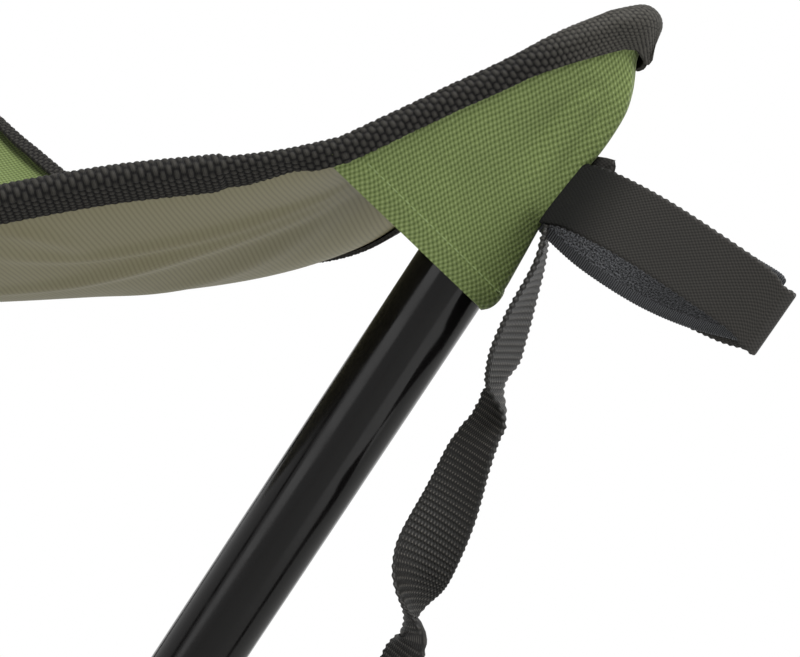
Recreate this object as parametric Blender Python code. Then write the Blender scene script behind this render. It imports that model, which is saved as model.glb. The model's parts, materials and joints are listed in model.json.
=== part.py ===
"""Folding tripod stool with a cloth sling seat.

Three steel tubes turn on the studs of one central hub. A triangular cloth seat hangs between their
upper ends, which sit in pockets sewn under its corners. One corner carries a closure strap, and a
carrying strap hangs from that corner to the foot of the same leg.
Units are metres and Z is up. The floor is Z = 0, and the origin is under the middle of the stool's box.
Each leg has a frame of its own on its hinge: X points out of the leg and down, Y along the stud, Z up
the tube.
"""
import math

import bmesh
import bpy
from mathutils import Matrix, Vector

# Legs
TUBE_DIAMETER = 0.0225
TUBE_WALL = 0.0012
LEG_ABOVE_PIVOT = 0.323
LEG_BELOW_PIVOT = 0.262
LEG_OPEN_ANGLE = math.radians(37.0)
RUNNING_GAP = 0.0003

# Central pivot
HUB_CORE_RADIUS = 0.0055
HUB_CORE_HEIGHT = 0.016
STUD_DIAMETER = 0.006
BUSH_WALL = 0.0012
BUSH_FLANGE_DIAMETER = 0.014
BUSH_FLANGE_THICKNESS = 0.0012
WASHER_DIAMETER = 0.014
WASHER_THICKNESS = 0.001
NUT_ACROSS_FLATS = 0.010
NUT_HEX_HEIGHT = 0.005
NUT_DOME_HEIGHT = 0.004
NUT_CROWN = 0.0015

# Plug in the upper end and cap on the lower end of each tube
PLUG_FLANGE_THICKNESS = 0.002
PLUG_FLANGE_CHAMFER = 0.0006
PLUG_STEM_LENGTH = 0.018
FOOT_WALL = 0.0025
FOOT_SLEEVE_LENGTH = 0.034
FOOT_SOLE = 0.004
FOOT_LIP_CHAMFER = 0.0008

# Cloth seat
CLOTH_THICKNESS = 0.001
TIP_BEYOND_TUBE = 0.019
SEAT_RIM_CLEARANCE = 0.0020
TENT_LIFT = 0.006
TENT_LENGTH = 0.014
TENT_WIDTH = 0.013
EDGE_SLOPE = math.tan(math.radians(25.6))
EDGE_SAG = 0.0525
EDGE_SKEW = 0.006
CENTRE_SAG = 0.0745
SAG_BEND = 0.012
SAG_FULLNESS = 0.8
TAPE_WIDTH = 0.010
TAPE_THICKNESS = 0.0012
TAPE_ROUNDING = 0.0009
TAPE_GAP = 0.0007
TIP_INNER_RADIUS = 0.002

# Corner pockets
POCKET_CLOTH = 0.0008
POCKET_EDGE_LENGTH = 0.081
POCKET_KEEL_LENGTH = 0.064
POCKET_EDGE_INSET = 0.004
POCKET_EASE = 0.0030
POCKET_END_GAP = 0.0005
POCKET_END_TAPER = 0.7
POCKET_TIP_SPREAD = 0.011

# Closure strap: two tapes sewn to the keel of the first pocket. The front one is folded round the end of
# the back one, and the two bow apart between their ends
CLOSURE_THICKNESS = 0.0016
CLOSURE_LENGTH = 0.065
CLOSURE_BELOW_TUBE_END = 0.0295
FRONT_TAPE_WIDTH = 0.0195
FRONT_TAPE_BOW = 0.003
FRONT_TAPE_START = 0.001
FRONT_TAPE_RISE = 0.020
FRONT_TAPE_DROOP = 0.0105
FRONT_TAPE_RETURN = 0.022
FRONT_TAPE_RETURN_DROP = 0.0075
FRONT_TAPE_FOLD = 0.0026
BACK_TAPE_WIDTH = 0.029
BACK_TAPE_END_WIDTH = 0.0215
BACK_TAPE_SHORT = 0.006
BACK_TAPE_BOW = 0.010
BACK_TAPE_LEAN = 0.0025
BACK_TAPE_START = -0.001
BACK_TAPE_RISE = 0.011
BACK_TAPE_DROOP = 0.002

# Carrying strap: each point's distance out of the leg, along the stud and down from the tube's upper
# end, and the strap's twist there in degrees
CARRY_WIDTH = 0.018
CARRY_THICKNESS = 0.0016
CARRY_LOOP_WALL = 0.0016
CARRY_LOOP_ABOVE_FOOT = 0.004
CARRY_ROUTE = [
    (0.0190, -0.002, 0.046),
    (0.0210, -0.003, 0.051),
    (0.0234, -0.003, 0.060),
    (0.0270, -0.003, 0.070),
    (0.0300, -0.003, 0.081),
    (0.0332, -0.003, 0.094),
    (0.0375, -0.003, 0.108),
    (0.0410, -0.003, 0.123),
    (0.0440, -0.002, 0.138),
    (0.0500, -0.002, 0.154),
    (0.0620, -0.002, 0.205),
    (0.0735, -0.005, 0.280),
    (0.0790, -0.009, 0.354),
    (0.0750, -0.007, 0.415),
    (0.0630, -0.003, 0.466),
    (0.0450, 0.000, 0.506),
]
CARRY_TWIST = [-22, -12, -5, -1, -15, -59, -79, -104, -155, -200, -220, -232, -242, -252, -261, -268]
CARRY_END_RUN = [(0.018, 0.0055), (0.008, 0.0008), (0.004, 0.0)]
CARRY_END_TWIST = -270
CARRY_END_GAP = 0.0006
CARRY_STEPS = 4

# Facet counts
TUBE_SIDES = 28
SMALL_SIDES = 18
TIP_STEPS = 8
EDGE_STEPS = 16
EDGE_CROWDING = 0.09
SEAT_RINGS = [0.95, 0.90, 0.82, 0.64, 0.42, 0.20]
POCKET_STATIONS = 8
POCKET_WALL_STEPS = 4
POCKET_ARC_STEPS = 8
CLOSURE_STEPS = 14
FOLD_STEPS = 6

# Sizes that follow from those above
TUBE_RADIUS = TUBE_DIAMETER / 2
STUD_RADIUS = STUD_DIAMETER / 2
BUSH_RADIUS = STUD_RADIUS + RUNNING_GAP + BUSH_WALL
HUB_OFFSET = HUB_CORE_RADIUS + BUSH_FLANGE_THICKNESS + TUBE_RADIUS + 2 * RUNNING_GAP
NUT_SEAT = HUB_OFFSET + TUBE_RADIUS + WASHER_THICKNESS + 2 * RUNNING_GAP
STUD_END = NUT_SEAT + NUT_HEX_HEIGHT
LEAN = math.sin(LEG_OPEN_ANGLE)
RISE = math.cos(LEG_OPEN_ANGLE)
PIVOT_HEIGHT = FOOT_SOLE + TUBE_RADIUS * LEAN + LEG_BELOW_PIVOT * RISE
LEG_TURN = -math.atan2(HUB_OFFSET, LEG_ABOVE_PIVOT * LEAN)
TUBE_TOP_RADIUS = math.hypot(HUB_OFFSET, LEG_ABOVE_PIVOT * LEAN)
TUBE_TOP_HEIGHT = PIVOT_HEIGHT + LEG_ABOVE_PIVOT * RISE

SIN30 = math.sin(math.radians(30))
COS30 = math.cos(math.radians(30))
TIP_RADIUS = TUBE_TOP_RADIUS + TIP_BEYOND_TUBE
TIP_ROUNDING = TAPE_WIDTH + TIP_INNER_RADIUS
SHARP_RADIUS = TIP_RADIUS + TIP_ROUNDING
SHARP_SIDE = SHARP_RADIUS * 2 * COS30
TIP_ALONG_EDGE = TIP_ROUNDING * COS30
RIM_RADIUS = TUBE_TOP_RADIUS - TUBE_RADIUS * RISE
POCKET_BELOW_SEAT = (CLOTH_THICKNESS / 2 + TAPE_GAP + TAPE_THICKNESS + RUNNING_GAP + POCKET_CLOTH / 2) / RISE

CORNER_ANGLES = {"a": 0.0, "b": math.radians(-120), "c": math.radians(120)}


def clear_scene():
    for old in list(bpy.data.objects):
        bpy.data.objects.remove(old, do_unlink=True)


def paint(name, colour, roughness, metallic=0.0):
    """A plain surface: its colour, how matt it is and whether it is bare metal."""
    material = bpy.data.materials.new(name)
    material.use_nodes = True
    shader = material.node_tree.nodes["Principled BSDF"]
    shader.inputs["Base Color"].default_value = (*colour, 1.0)
    shader.inputs["Roughness"].default_value = roughness
    shader.inputs["Metallic"].default_value = metallic
    return material


def empty(name, parent=None, matrix=Matrix.Identity(4)):
    guide = bpy.data.objects.new(name, None)
    bpy.context.collection.objects.link(guide)
    guide.parent = parent
    guide.matrix_local = matrix
    return guide


def place(name, mesh, material, parent):
    """One named piece under its parent; pieces that repeat share their mesh."""
    if not mesh.materials:
        mesh.materials.append(material)
    piece = bpy.data.objects.new(name, mesh)
    bpy.context.collection.objects.link(piece)
    piece.parent = parent
    return piece


def mesh_of(name, points, faces, sharp=35):
    """A mesh with its faces turned outwards and smooth shading over its gentle edges."""
    shape = bmesh.new()
    corners = [shape.verts.new(point) for point in points]
    for face in faces:
        shape.faces.new([corners[index] for index in face])
    bmesh.ops.recalc_face_normals(shape, faces=shape.faces)
    mesh = bpy.data.meshes.new(name)
    shape.to_mesh(mesh)
    shape.free()
    mesh.shade_smooth()
    mesh.set_sharp_from_angle(angle=math.radians(sharp))
    return mesh


def skin(name, sections, wrap=False, split_from=None):
    """Join closed sections in order, with flat ends, or as a ring where wrap is set.

    split_from gives each point of a section a rank. The faces are then triangles, each pair split from
    its lower ranked point to the next section's higher ranked one.
    """
    count = len(sections[0])
    points = [point for section in sections for point in section]
    faces = []
    for row in range(len(sections) if wrap else len(sections) - 1):
        here = row * count
        there = (row + 1) % len(sections) * count
        for step in range(count):
            after = (step + 1) % count
            corners = (here + step, here + after, there + after, there + step)
            if split_from is None:
                faces.append(corners)
                continue
            if split_from[step] > split_from[after]:
                corners = corners[1:] + corners[:1]
            faces.append(corners[:3])
            faces.append((corners[0], corners[2], corners[3]))
    if not wrap:
        faces.append(tuple(range(count)))
        faces.append(tuple(range(len(points) - count, len(points))))
    return mesh_of(name, points, faces)


def circle(radius, height, sides, axis="Z"):
    """Points of a circle round a frame's Z axis, or round its Y axis."""
    points = []
    for step in range(sides):
        turn = 2 * math.pi * step / sides
        across = radius * math.cos(turn)
        other = radius * math.sin(turn)
        points.append((across, other, height) if axis == "Z" else (across, height, other))
    return points


def turned(name, profile, sides, wrap=False, axis="Z"):
    """A piece turned from a profile of radius and height."""
    return skin(name, [circle(radius, height, sides, axis) for radius, height in profile], wrap)


def cutter(name, mesh, parent):
    """A body that only shapes another piece."""
    tool = bpy.data.objects.new(name, mesh)
    bpy.context.collection.objects.link(tool)
    tool.parent = parent
    tool.hide_render = True
    tool.display_type = "WIRE"
    return tool


def boolean(piece, tool, operation):
    step = piece.modifiers.new(tool.name, "BOOLEAN")
    step.operation = operation
    step.solver = "EXACT"
    step.object = tool


def thicken(piece, thickness):
    """Give a cloth surface its thickness, half to each side."""
    wall = piece.modifiers.new("cloth", "SOLIDIFY")
    wall.thickness = thickness
    wall.offset = 0.0
    wall.use_even_offset = True


def leg_frame(corner):
    """The frame of one leg at its hinge, with the stool open."""
    turn = Matrix.Rotation(LEG_TURN + CORNER_ANGLES[corner], 4, "Z")
    to_pivot = Matrix.Translation((0, HUB_OFFSET, PIVOT_HEIGHT))
    return turn @ to_pivot @ Matrix.Rotation(LEG_OPEN_ANGLE, 4, "Y")


def tube_mesh():
    """A plain steel tube, open at both ends, from its lower end to the plug's flange."""
    bore = TUBE_RADIUS - TUBE_WALL
    top = LEG_ABOVE_PIVOT - PLUG_FLANGE_THICKNESS - RUNNING_GAP
    profile = [(TUBE_RADIUS, -LEG_BELOW_PIVOT), (TUBE_RADIUS, top), (bore, top), (bore, -LEG_BELOW_PIVOT)]
    return turned("leg_tube", profile, TUBE_SIDES, wrap=True)


def plug_mesh():
    """The plug that keeps the tube's rim from cutting the pocket."""
    stem = TUBE_RADIUS - TUBE_WALL - RUNNING_GAP
    top = LEG_ABOVE_PIVOT
    shoulder = top - PLUG_FLANGE_THICKNESS
    profile = [
        (stem - PLUG_FLANGE_CHAMFER, shoulder - PLUG_STEM_LENGTH),
        (stem, shoulder - PLUG_STEM_LENGTH + PLUG_FLANGE_CHAMFER),
        (stem, shoulder),
        (TUBE_RADIUS, shoulder),
        (TUBE_RADIUS, top - PLUG_FLANGE_CHAMFER),
        (TUBE_RADIUS - PLUG_FLANGE_CHAMFER, top),
    ]
    return turned("top_plug", profile, TUBE_SIDES)


def foot_mesh():
    """A rubber cup on the tube's lower end, its sole cut level with the floor."""
    bore = TUBE_RADIUS + RUNNING_GAP
    outer = bore + FOOT_WALL
    floor = -LEG_BELOW_PIVOT - RUNNING_GAP
    lip = floor + FOOT_SLEEVE_LENGTH
    sole = []
    for across, other, _ in circle(outer, 0.0, TUBE_SIDES):
        sole.append((across, other, (across * LEAN - PIVOT_HEIGHT) / RISE))
    rings = [
        sole,
        circle(outer, lip - FOOT_LIP_CHAMFER, TUBE_SIDES),
        circle(outer - FOOT_LIP_CHAMFER, lip, TUBE_SIDES),
        circle(bore, lip, TUBE_SIDES),
        circle(bore, floor, TUBE_SIDES),
    ]
    return skin("foot_cap", rings)


def bush_mesh():
    """A nylon sleeve through the tube, with a flange against the hub."""
    inner = TUBE_RADIUS + RUNNING_GAP
    bore = STUD_RADIUS + RUNNING_GAP
    flange = BUSH_FLANGE_DIAMETER / 2
    profile = [
        (bore, -inner - BUSH_FLANGE_THICKNESS),
        (flange, -inner - BUSH_FLANGE_THICKNESS),
        (flange, -inner),
        (BUSH_RADIUS, -inner),
        (BUSH_RADIUS, TUBE_RADIUS),
        (bore, TUBE_RADIUS),
    ]
    return turned("pivot_bush", profile, SMALL_SIDES, wrap=True, axis="Y")


def washer_mesh():
    start = HUB_OFFSET + TUBE_RADIUS + RUNNING_GAP
    bore = STUD_RADIUS + RUNNING_GAP
    rim = WASHER_DIAMETER / 2
    end = start + WASHER_THICKNESS
    profile = [(bore, start), (rim, start), (rim, end), (bore, end)]
    return turned("pivot_washer", profile, SMALL_SIDES, wrap=True, axis="Y")


def nut_mesh():
    """A hexagonal nut with a closed dome over the end of its stud."""
    half = NUT_ACROSS_FLATS / 2
    hexagon = []
    for step in range(SMALL_SIDES):
        turn = 2 * math.pi * step / SMALL_SIDES
        reach = half / math.cos(turn % math.radians(60) - math.radians(30))
        hexagon.append((reach * math.cos(turn), reach * math.sin(turn)))
    bore = STUD_RADIUS + RUNNING_GAP
    shoulder = NUT_SEAT + NUT_HEX_HEIGHT
    crown = shoulder + NUT_DOME_HEIGHT
    rings = [
        circle(bore, STUD_END + RUNNING_GAP, SMALL_SIDES, "Y"),
        circle(bore, NUT_SEAT, SMALL_SIDES, "Y"),
        [(across, NUT_SEAT, other) for across, other in hexagon],
        [(across, shoulder, other) for across, other in hexagon],
        circle(half, shoulder + RUNNING_GAP, SMALL_SIDES, "Y"),
        circle(half, crown - NUT_CROWN, SMALL_SIDES, "Y"),
        circle(half - NUT_CROWN, crown, SMALL_SIDES, "Y"),
    ]
    return skin("pivot_nut", rings)


def add_hub(parent, steel):
    """A hexagonal core with one stud towards each leg."""
    corner = HUB_CORE_RADIUS / COS30
    half = HUB_CORE_HEIGHT / 2
    core = [
        [(corner * math.cos(math.radians(60 * step)), corner * math.sin(math.radians(60 * step)), height)
         for step in range(6)]
        for height in (PIVOT_HEIGHT - half, PIVOT_HEIGHT + half)
    ]
    hub = place("pivot_hub", skin("pivot_hub", core), steel, parent)
    hub.rotation_euler.z = LEG_TURN + math.radians(30) + math.radians(90)
    stud = turned("hub_stud", [(STUD_RADIUS, 0.0), (STUD_RADIUS, STUD_END)], SMALL_SIDES, axis="Y")
    for corner_name, angle in CORNER_ANGLES.items():
        tool = cutter("hub_stud_" + corner_name, stud, parent)
        tool.location.z = PIVOT_HEIGHT
        tool.rotation_euler.z = LEG_TURN + angle
        boolean(hub, tool, "UNION")


def edge_drop(along):
    """How far a seat edge lies below the tips, at a distance along it from its first tip.

    The edge is straight past each pocket and slack between them, and the slack hangs towards its second tip.
    """
    half = SHARP_SIDE / 2 - TIP_ALONG_EDGE
    near = min(along, 2 * half - along)
    free = (near - POCKET_EDGE_LENGTH) / (half - POCKET_EDGE_LENGTH)
    straight = EDGE_SLOPE * near
    slack = EDGE_SAG - (EDGE_SAG - EDGE_SLOPE * POCKET_EDGE_LENGTH) * (1 - free) ** 2
    share = min(max(0.5 + 0.5 * (slack - straight) / SAG_BEND, 0.0), 1.0)
    drop = straight * share + slack * (1 - share) - SAG_BEND * share * (1 - share)
    skew = EDGE_SKEW * math.sin(math.pi * max(free, 0.0))
    return drop - skew if along < half else drop + skew


def seat_drop(x, y):
    """How far the cloth lies below the tips: by its edges, the slack between them and the tube ends."""
    corners = [(SHARP_RADIUS * math.cos(a), SHARP_RADIUS * math.sin(a)) for a in CORNER_ANGLES.values()]
    height = SHARP_RADIUS * (1 + SIN30)
    drops = 0.0
    weights = 0.0
    fullness = 1.0
    for index, (cx, cy) in enumerate(corners):
        nx, ny = corners[(index + 1) % 3]
        ex = (nx - cx) / SHARP_SIDE
        ey = (ny - cy) / SHARP_SIDE
        along = (x - cx) * ex + (y - cy) * ey
        away = max((x - cx) * ey - (y - cy) * ex, 0.0)
        weight = 1.0 / (away + RUNNING_GAP) ** 2
        drops += weight * edge_drop(along - TIP_ALONG_EDGE)
        weights += weight
        fullness *= len(corners) * away / height
    tent = 0.0
    for angle in CORNER_ANGLES.values():
        outward = x * math.cos(angle) + y * math.sin(angle)
        aside = y * math.cos(angle) - x * math.sin(angle)
        tent += math.exp(-((outward - RIM_RADIUS) / TENT_LENGTH) ** 2 - (aside / TENT_WIDTH) ** 2)
    slack = (CENTRE_SAG - EDGE_SAG) * fullness ** SAG_FULLNESS
    return drops / weights + slack - TENT_LIFT * tent


RIM_TOP = TUBE_TOP_HEIGHT + TUBE_RADIUS * LEAN
TIP_HEIGHT = RIM_TOP + seat_drop(RIM_RADIUS, 0.0) + CLOTH_THICKNESS / 2 + SEAT_RIM_CLEARANCE


def seat_point(x, y, below=0.0):
    """A point of the cloth's middle surface, or one straight below it."""
    return Vector((x, y, TIP_HEIGHT - seat_drop(x, y) - below))


def seat_outline():
    """Plan points of the seat's edge with their outward directions, corner by corner."""
    outline = []
    for angle in sorted(CORNER_ANGLES.values()):
        centre = TIP_RADIUS - TIP_ROUNDING
        for step in range(TIP_STEPS + 1):
            turn = angle + math.radians(-60 + 120 * step / TIP_STEPS)
            x = centre * math.cos(angle) + TIP_ROUNDING * math.cos(turn)
            y = centre * math.sin(angle) + TIP_ROUNDING * math.sin(turn)
            outline.append((Vector((x, y)), Vector((math.cos(turn), math.sin(turn)))))
        facing = angle + math.radians(60)
        outward = Vector((math.cos(facing), math.sin(facing)))
        start = outline[-1][0]
        run = SHARP_SIDE - 2 * TIP_ROUNDING * COS30 / SIN30
        heading = Vector((-outward.y, outward.x))
        for step in range(1, EDGE_STEPS):
            share = step / EDGE_STEPS
            share -= EDGE_CROWDING * math.sin(2 * math.pi * share)
            outline.append((start + heading * run * share, outward))
    return outline


def panel_mesh():
    """The seat's one sheet of cloth: rings of points from the middle to the edge."""
    outline = seat_outline()
    inner = [point - outward * TAPE_WIDTH for point, outward in outline]
    rings = [[point for point, _ in outline], inner]
    rings += [[point * share for point in inner] for share in SEAT_RINGS]
    count = len(outline)
    points = [seat_point(point.x, point.y) for ring in rings for point in ring]
    middle = len(points)
    points.append(seat_point(0.0, 0.0))
    faces = []
    for row in range(len(rings) - 1):
        for step in range(count):
            outer = row * count + step
            outer_after = row * count + (step + 1) % count
            faces.append((outer, outer_after, outer_after + count))
            faces.append((outer, outer_after + count, outer + count))
    last = (len(rings) - 1) * count
    for step in range(count):
        faces.append((last + step, last + (step + 1) % count, middle))
    return mesh_of("seat_panel", points, faces, sharp=60)


def binding_mesh():
    """Tape folded over the seat's edge, all round."""
    outline = seat_outline()
    inside = CLOTH_THICKNESS / 2 + TAPE_GAP
    outside = inside + TAPE_THICKNESS
    fold = TAPE_GAP + TAPE_THICKNESS
    profile = [
        (TAPE_WIDTH, outside),
        (TAPE_ROUNDING - fold, outside),
        (-fold, outside - TAPE_ROUNDING),
        (-fold, TAPE_ROUNDING - outside),
        (TAPE_ROUNDING - fold, -outside),
        (TAPE_WIDTH, -outside),
        (TAPE_WIDTH, -inside),
        (-TAPE_GAP, -inside),
        (-TAPE_GAP, inside),
        (TAPE_WIDTH, inside),
    ]
    edge = [seat_point(point.x, point.y) for point, _ in outline]
    sections = []
    for index, (point, outward) in enumerate(outline):
        lip = point - outward * TAPE_WIDTH
        inward = (seat_point(lip.x, lip.y) - edge[index]).normalized()
        ahead = edge[(index + 1) % len(edge)] - edge[index - 1]
        up = inward.cross(ahead).normalized()
        if up.z < 0:
            up = -up
        sections.append([edge[index] + inward * along + up * height for along, height in profile])
    return skin("edge_binding", sections, wrap=True, split_from=[along for along, _ in profile])


def pocket_top(along, side):
    """A point of the pocket's upper edge, under the tape, at a distance from the sharp corner."""
    x = SHARP_RADIUS - along * COS30 - POCKET_EDGE_INSET * SIN30
    y = side * (along * SIN30 - POCKET_EDGE_INSET * COS30)
    return seat_point(x, y, POCKET_BELOW_SEAT)


def pocket_reach(down):
    """Distance from the tube's axis to the pocket's keel, at a distance down from the tube's end."""
    snug = TUBE_RADIUS + POCKET_CLOTH / 2 + POCKET_END_GAP
    return snug + POCKET_EASE * min(1.0, (down + POCKET_END_GAP) / (POCKET_END_TAPER * POCKET_KEEL_LENGTH))


def pocket_section(near, far, reach, height):
    """From one upper edge round the underside of the tube to the other upper edge."""
    walls = []
    angles = []
    for top in (near, far):
        away = math.hypot(top.x, top.y)
        heading = math.atan2(top.y, top.x)
        bend = math.acos(min(reach / away, 1.0))
        angles.append(heading + bend if heading < 0 else heading - bend)
        touch = Vector((reach * math.cos(angles[-1]), reach * math.sin(angles[-1]), height))
        walls.append([top.lerp(touch, step / POCKET_WALL_STEPS) for step in range(POCKET_WALL_STEPS)])
    arc = []
    for step in range(POCKET_ARC_STEPS + 1):
        turn = angles[0] + (angles[1] - angles[0]) * step / POCKET_ARC_STEPS
        arc.append(Vector((reach * math.cos(turn), reach * math.sin(turn), height)))
    return walls[0] + arc + walls[1][::-1]


def pocket_mesh():
    """A cloth trough under one seat corner, in the frame of that corner's leg."""
    to_leg = leg_frame("a").inverted()
    hem = POCKET_EDGE_LENGTH + TIP_ALONG_EDGE
    end = TIP_ROUNDING / SIN30 * COS30 + POCKET_TIP_SPREAD
    sections = []
    for station in range(POCKET_STATIONS + 1):
        share = station / POCKET_STATIONS
        along = hem + (end - hem) * share
        near = to_leg @ pocket_top(along, -1)
        far = to_leg @ pocket_top(along, 1)
        down = POCKET_KEEL_LENGTH * (1.0 - share) - POCKET_END_GAP
        sections.append(pocket_section(near, far, pocket_reach(down), LEG_ABOVE_PIVOT - down))
    count = len(sections[0])
    tip = []
    for step in range(count):
        turn = math.radians(-60 + 120 * step / (count - 1))
        rounding = TIP_ROUNDING - POCKET_EDGE_INSET
        x = TIP_RADIUS - TIP_ROUNDING + rounding * math.cos(turn)
        y = rounding * math.sin(turn)
        tip.append(to_leg @ seat_point(x, y, POCKET_BELOW_SEAT))
    sections.append([(last + first) / 2 for last, first in zip(sections[-1], tip)])
    sections.append(tip)
    points = [point for section in sections for point in section]
    faces = []
    for row in range(len(sections) - 1):
        for step in range(count - 1):
            start = row * count + step
            faces.append((start, start + 1, start + count + 1, start + count))
    return mesh_of("corner_pocket", points, faces, sharp=60)


def ribbon_section(centre, along, across, width, thickness):
    """A flat strap's rectangle at one point of its path."""
    across = (across - along * across.dot(along)).normalized()
    over = along.cross(across).normalized()
    corners = [(1, 1), (1, -1), (-1, -1), (-1, 1)]
    return [centre + across * side * width / 2 + over * face * thickness / 2 for side, face in corners]


def tape_mesh(name, path, widths):
    """A flat tape along a path, with its width up the tube."""
    sections = []
    for index, centre in enumerate(path):
        along = path[min(index + 1, len(path) - 1)] - path[max(index - 1, 0)]
        along.z = 0.0
        along.normalize()
        sections.append(ribbon_section(centre, along, Vector((0, 0, 1)), widths[index], CLOSURE_THICKNESS))
    return skin(name, sections)


def back_tape_side(share):
    """How far the back tape's middle lies along the stud."""
    start = (CLOSURE_THICKNESS + RUNNING_GAP) / 2
    return start + BACK_TAPE_BOW * math.sin(math.pi * share) + BACK_TAPE_LEAN * share


def back_tape_mesh():
    """The tape behind, narrowed at its sewn end and where it is held in the fold."""
    path = []
    widths = []
    reach = 1.0 - BACK_TAPE_SHORT / CLOSURE_LENGTH
    for step in range(CLOSURE_STEPS + 1):
        share = reach * step / CLOSURE_STEPS
        swell = math.sin(math.pi * share)
        rise = BACK_TAPE_START + BACK_TAPE_RISE * share - BACK_TAPE_DROOP * swell
        path.append(Vector((CLOSURE_LENGTH * share, back_tape_side(share), rise)))
        widths.append(BACK_TAPE_END_WIDTH + (BACK_TAPE_WIDTH - BACK_TAPE_END_WIDTH) * swell)
    return tape_mesh("closure_back_tape", path, widths)


def front_tape_mesh():
    """The tape in front, folded round the end of the back one."""
    held = back_tape_side(1.0 - BACK_TAPE_SHORT / CLOSURE_LENGTH)
    start = -(CLOSURE_THICKNESS + RUNNING_GAP) / 2
    turn_in = CLOSURE_LENGTH - FRONT_TAPE_FOLD
    end_rise = FRONT_TAPE_START + FRONT_TAPE_RISE - FRONT_TAPE_DROOP
    path = []
    for step in range(CLOSURE_STEPS):
        share = step / CLOSURE_STEPS
        side = start - FRONT_TAPE_BOW * math.sin(math.pi * share)
        side += (held - FRONT_TAPE_FOLD - start) * share ** 2
        rise = FRONT_TAPE_START + FRONT_TAPE_RISE * share - FRONT_TAPE_DROOP * share ** 2
        path.append(Vector((turn_in * share, side, rise)))
    for step in range(FOLD_STEPS):
        turn = math.pi * (step / FOLD_STEPS - 0.5)
        reach = turn_in + FRONT_TAPE_FOLD * math.cos(turn)
        path.append(Vector((reach, held + FRONT_TAPE_FOLD * math.sin(turn), end_rise)))
    for step in range(FOLD_STEPS + 1):
        share = step / FOLD_STEPS
        reach = turn_in - (FRONT_TAPE_RETURN - FRONT_TAPE_FOLD) * share
        side = max(held, back_tape_side(reach / CLOSURE_LENGTH)) + FRONT_TAPE_FOLD
        path.append(Vector((reach, side, end_rise - FRONT_TAPE_RETURN_DROP * share)))
    return tape_mesh("closure_front_tape", path, [FRONT_TAPE_WIDTH] * len(path))


def smooth_path(points, steps):
    """Points of a smooth curve through the given ones."""
    path = []
    for index in range(len(points) - 1):
        before = points[max(index - 1, 0)]
        start = points[index]
        end = points[index + 1]
        after = points[min(index + 2, len(points) - 1)]
        for step in range(steps):
            t = step / steps
            bend = (after - end * 3 + start * 3 - before) * t ** 3
            bend += (before * 2 - start * 5 + end * 4 - after) * t ** 2
            path.append((start * 2 + (end - before) * t + bend) / 2)
    path.append(points[-1])
    return path


def carry_loop_middle():
    """Height of the carrying strap's lower loop in the frame of its leg."""
    return -LEG_BELOW_PIVOT + FOOT_SLEEVE_LENGTH + CARRY_LOOP_ABOVE_FOOT + CARRY_WIDTH / 2


def carry_loop_mesh():
    """The strap's lower end, sewn round the tube above the foot."""
    middle = carry_loop_middle()
    bore = TUBE_RADIUS + RUNNING_GAP
    rim = bore + CARRY_LOOP_WALL
    low = middle - CARRY_WIDTH / 2
    high = middle + CARRY_WIDTH / 2
    return turned("carry_strap_loop", [(bore, low), (rim, low), (rim, high), (bore, high)], TUBE_SIDES, wrap=True)


def carry_mesh():
    """A webbing strap that hangs slack and twisted from the pocket to its lower loop."""
    route = [Vector((out, side, LEG_ABOVE_PIVOT - down)) for out, side, down in CARRY_ROUTE]
    seat = TUBE_RADIUS + RUNNING_GAP + CARRY_LOOP_WALL + CARRY_END_GAP
    for reach, above in CARRY_END_RUN + [(0.0, 0.0)]:
        route.append(Vector((seat + reach, 0.0, carry_loop_middle() + above)))
    twist = [Vector((angle, 0, 0)) for angle in CARRY_TWIST]
    twist += [Vector((CARRY_END_TWIST, 0, 0))] * (len(route) - len(twist))
    path = smooth_path(route, CARRY_STEPS)
    turns = smooth_path(twist, CARRY_STEPS)
    length = sum((after - before).length for before, after in zip(path, path[1:]))
    print("carrying strap length:", round(length, 4))
    sections = []
    for index, centre in enumerate(path):
        along = (path[min(index + 1, len(path) - 1)] - path[max(index - 1, 0)]).normalized()
        side = Vector((0, 1, 0))
        turn = math.radians(turns[index].x)
        across = side * math.cos(turn) + along.cross(side) * math.sin(turn)
        sections.append(ribbon_section(centre, along, across, CARRY_WIDTH, CARRY_THICKNESS))
    return skin("carry_strap", sections)


def add_legs(parent, paints):
    """Three equal legs, each on its own hinge frame."""
    tube = tube_mesh()
    plug = plug_mesh()
    foot = foot_mesh()
    bush = bush_mesh()
    pocket = pocket_mesh()
    hole = BUSH_RADIUS + RUNNING_GAP
    reach = TUBE_DIAMETER
    drill = turned("bush_hole", [(hole, -reach), (hole, reach)], SMALL_SIDES, axis="Y")
    frames = {}
    for corner in CORNER_ANGLES:
        hinge = empty("leg_hinge_" + corner, parent, leg_frame(corner))
        leg = place("leg_tube_" + corner, tube, paints["coated_tube"], hinge)
        boolean(leg, cutter("bush_hole_" + corner, drill, hinge), "DIFFERENCE")
        place("top_plug_" + corner, plug, paints["plug"], hinge)
        place("foot_cap_" + corner, foot, paints["rubber"], hinge)
        place("pivot_bush_" + corner, bush, paints["nylon"], hinge)
        thicken(place("corner_pocket_" + corner, pocket, paints["pocket_cloth"], hinge), POCKET_CLOTH)
        frames[corner] = hinge
    return frames


def add_fasteners(parent, steel):
    """A washer and a dome nut on each stud of the hub."""
    washer = washer_mesh()
    nut = nut_mesh()
    for corner, angle in CORNER_ANGLES.items():
        for name, mesh in (("pivot_washer_", washer), ("pivot_nut_", nut)):
            piece = place(name + corner, mesh, steel, parent)
            piece.location.z = PIVOT_HEIGHT
            piece.rotation_euler.z = LEG_TURN + angle


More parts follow.
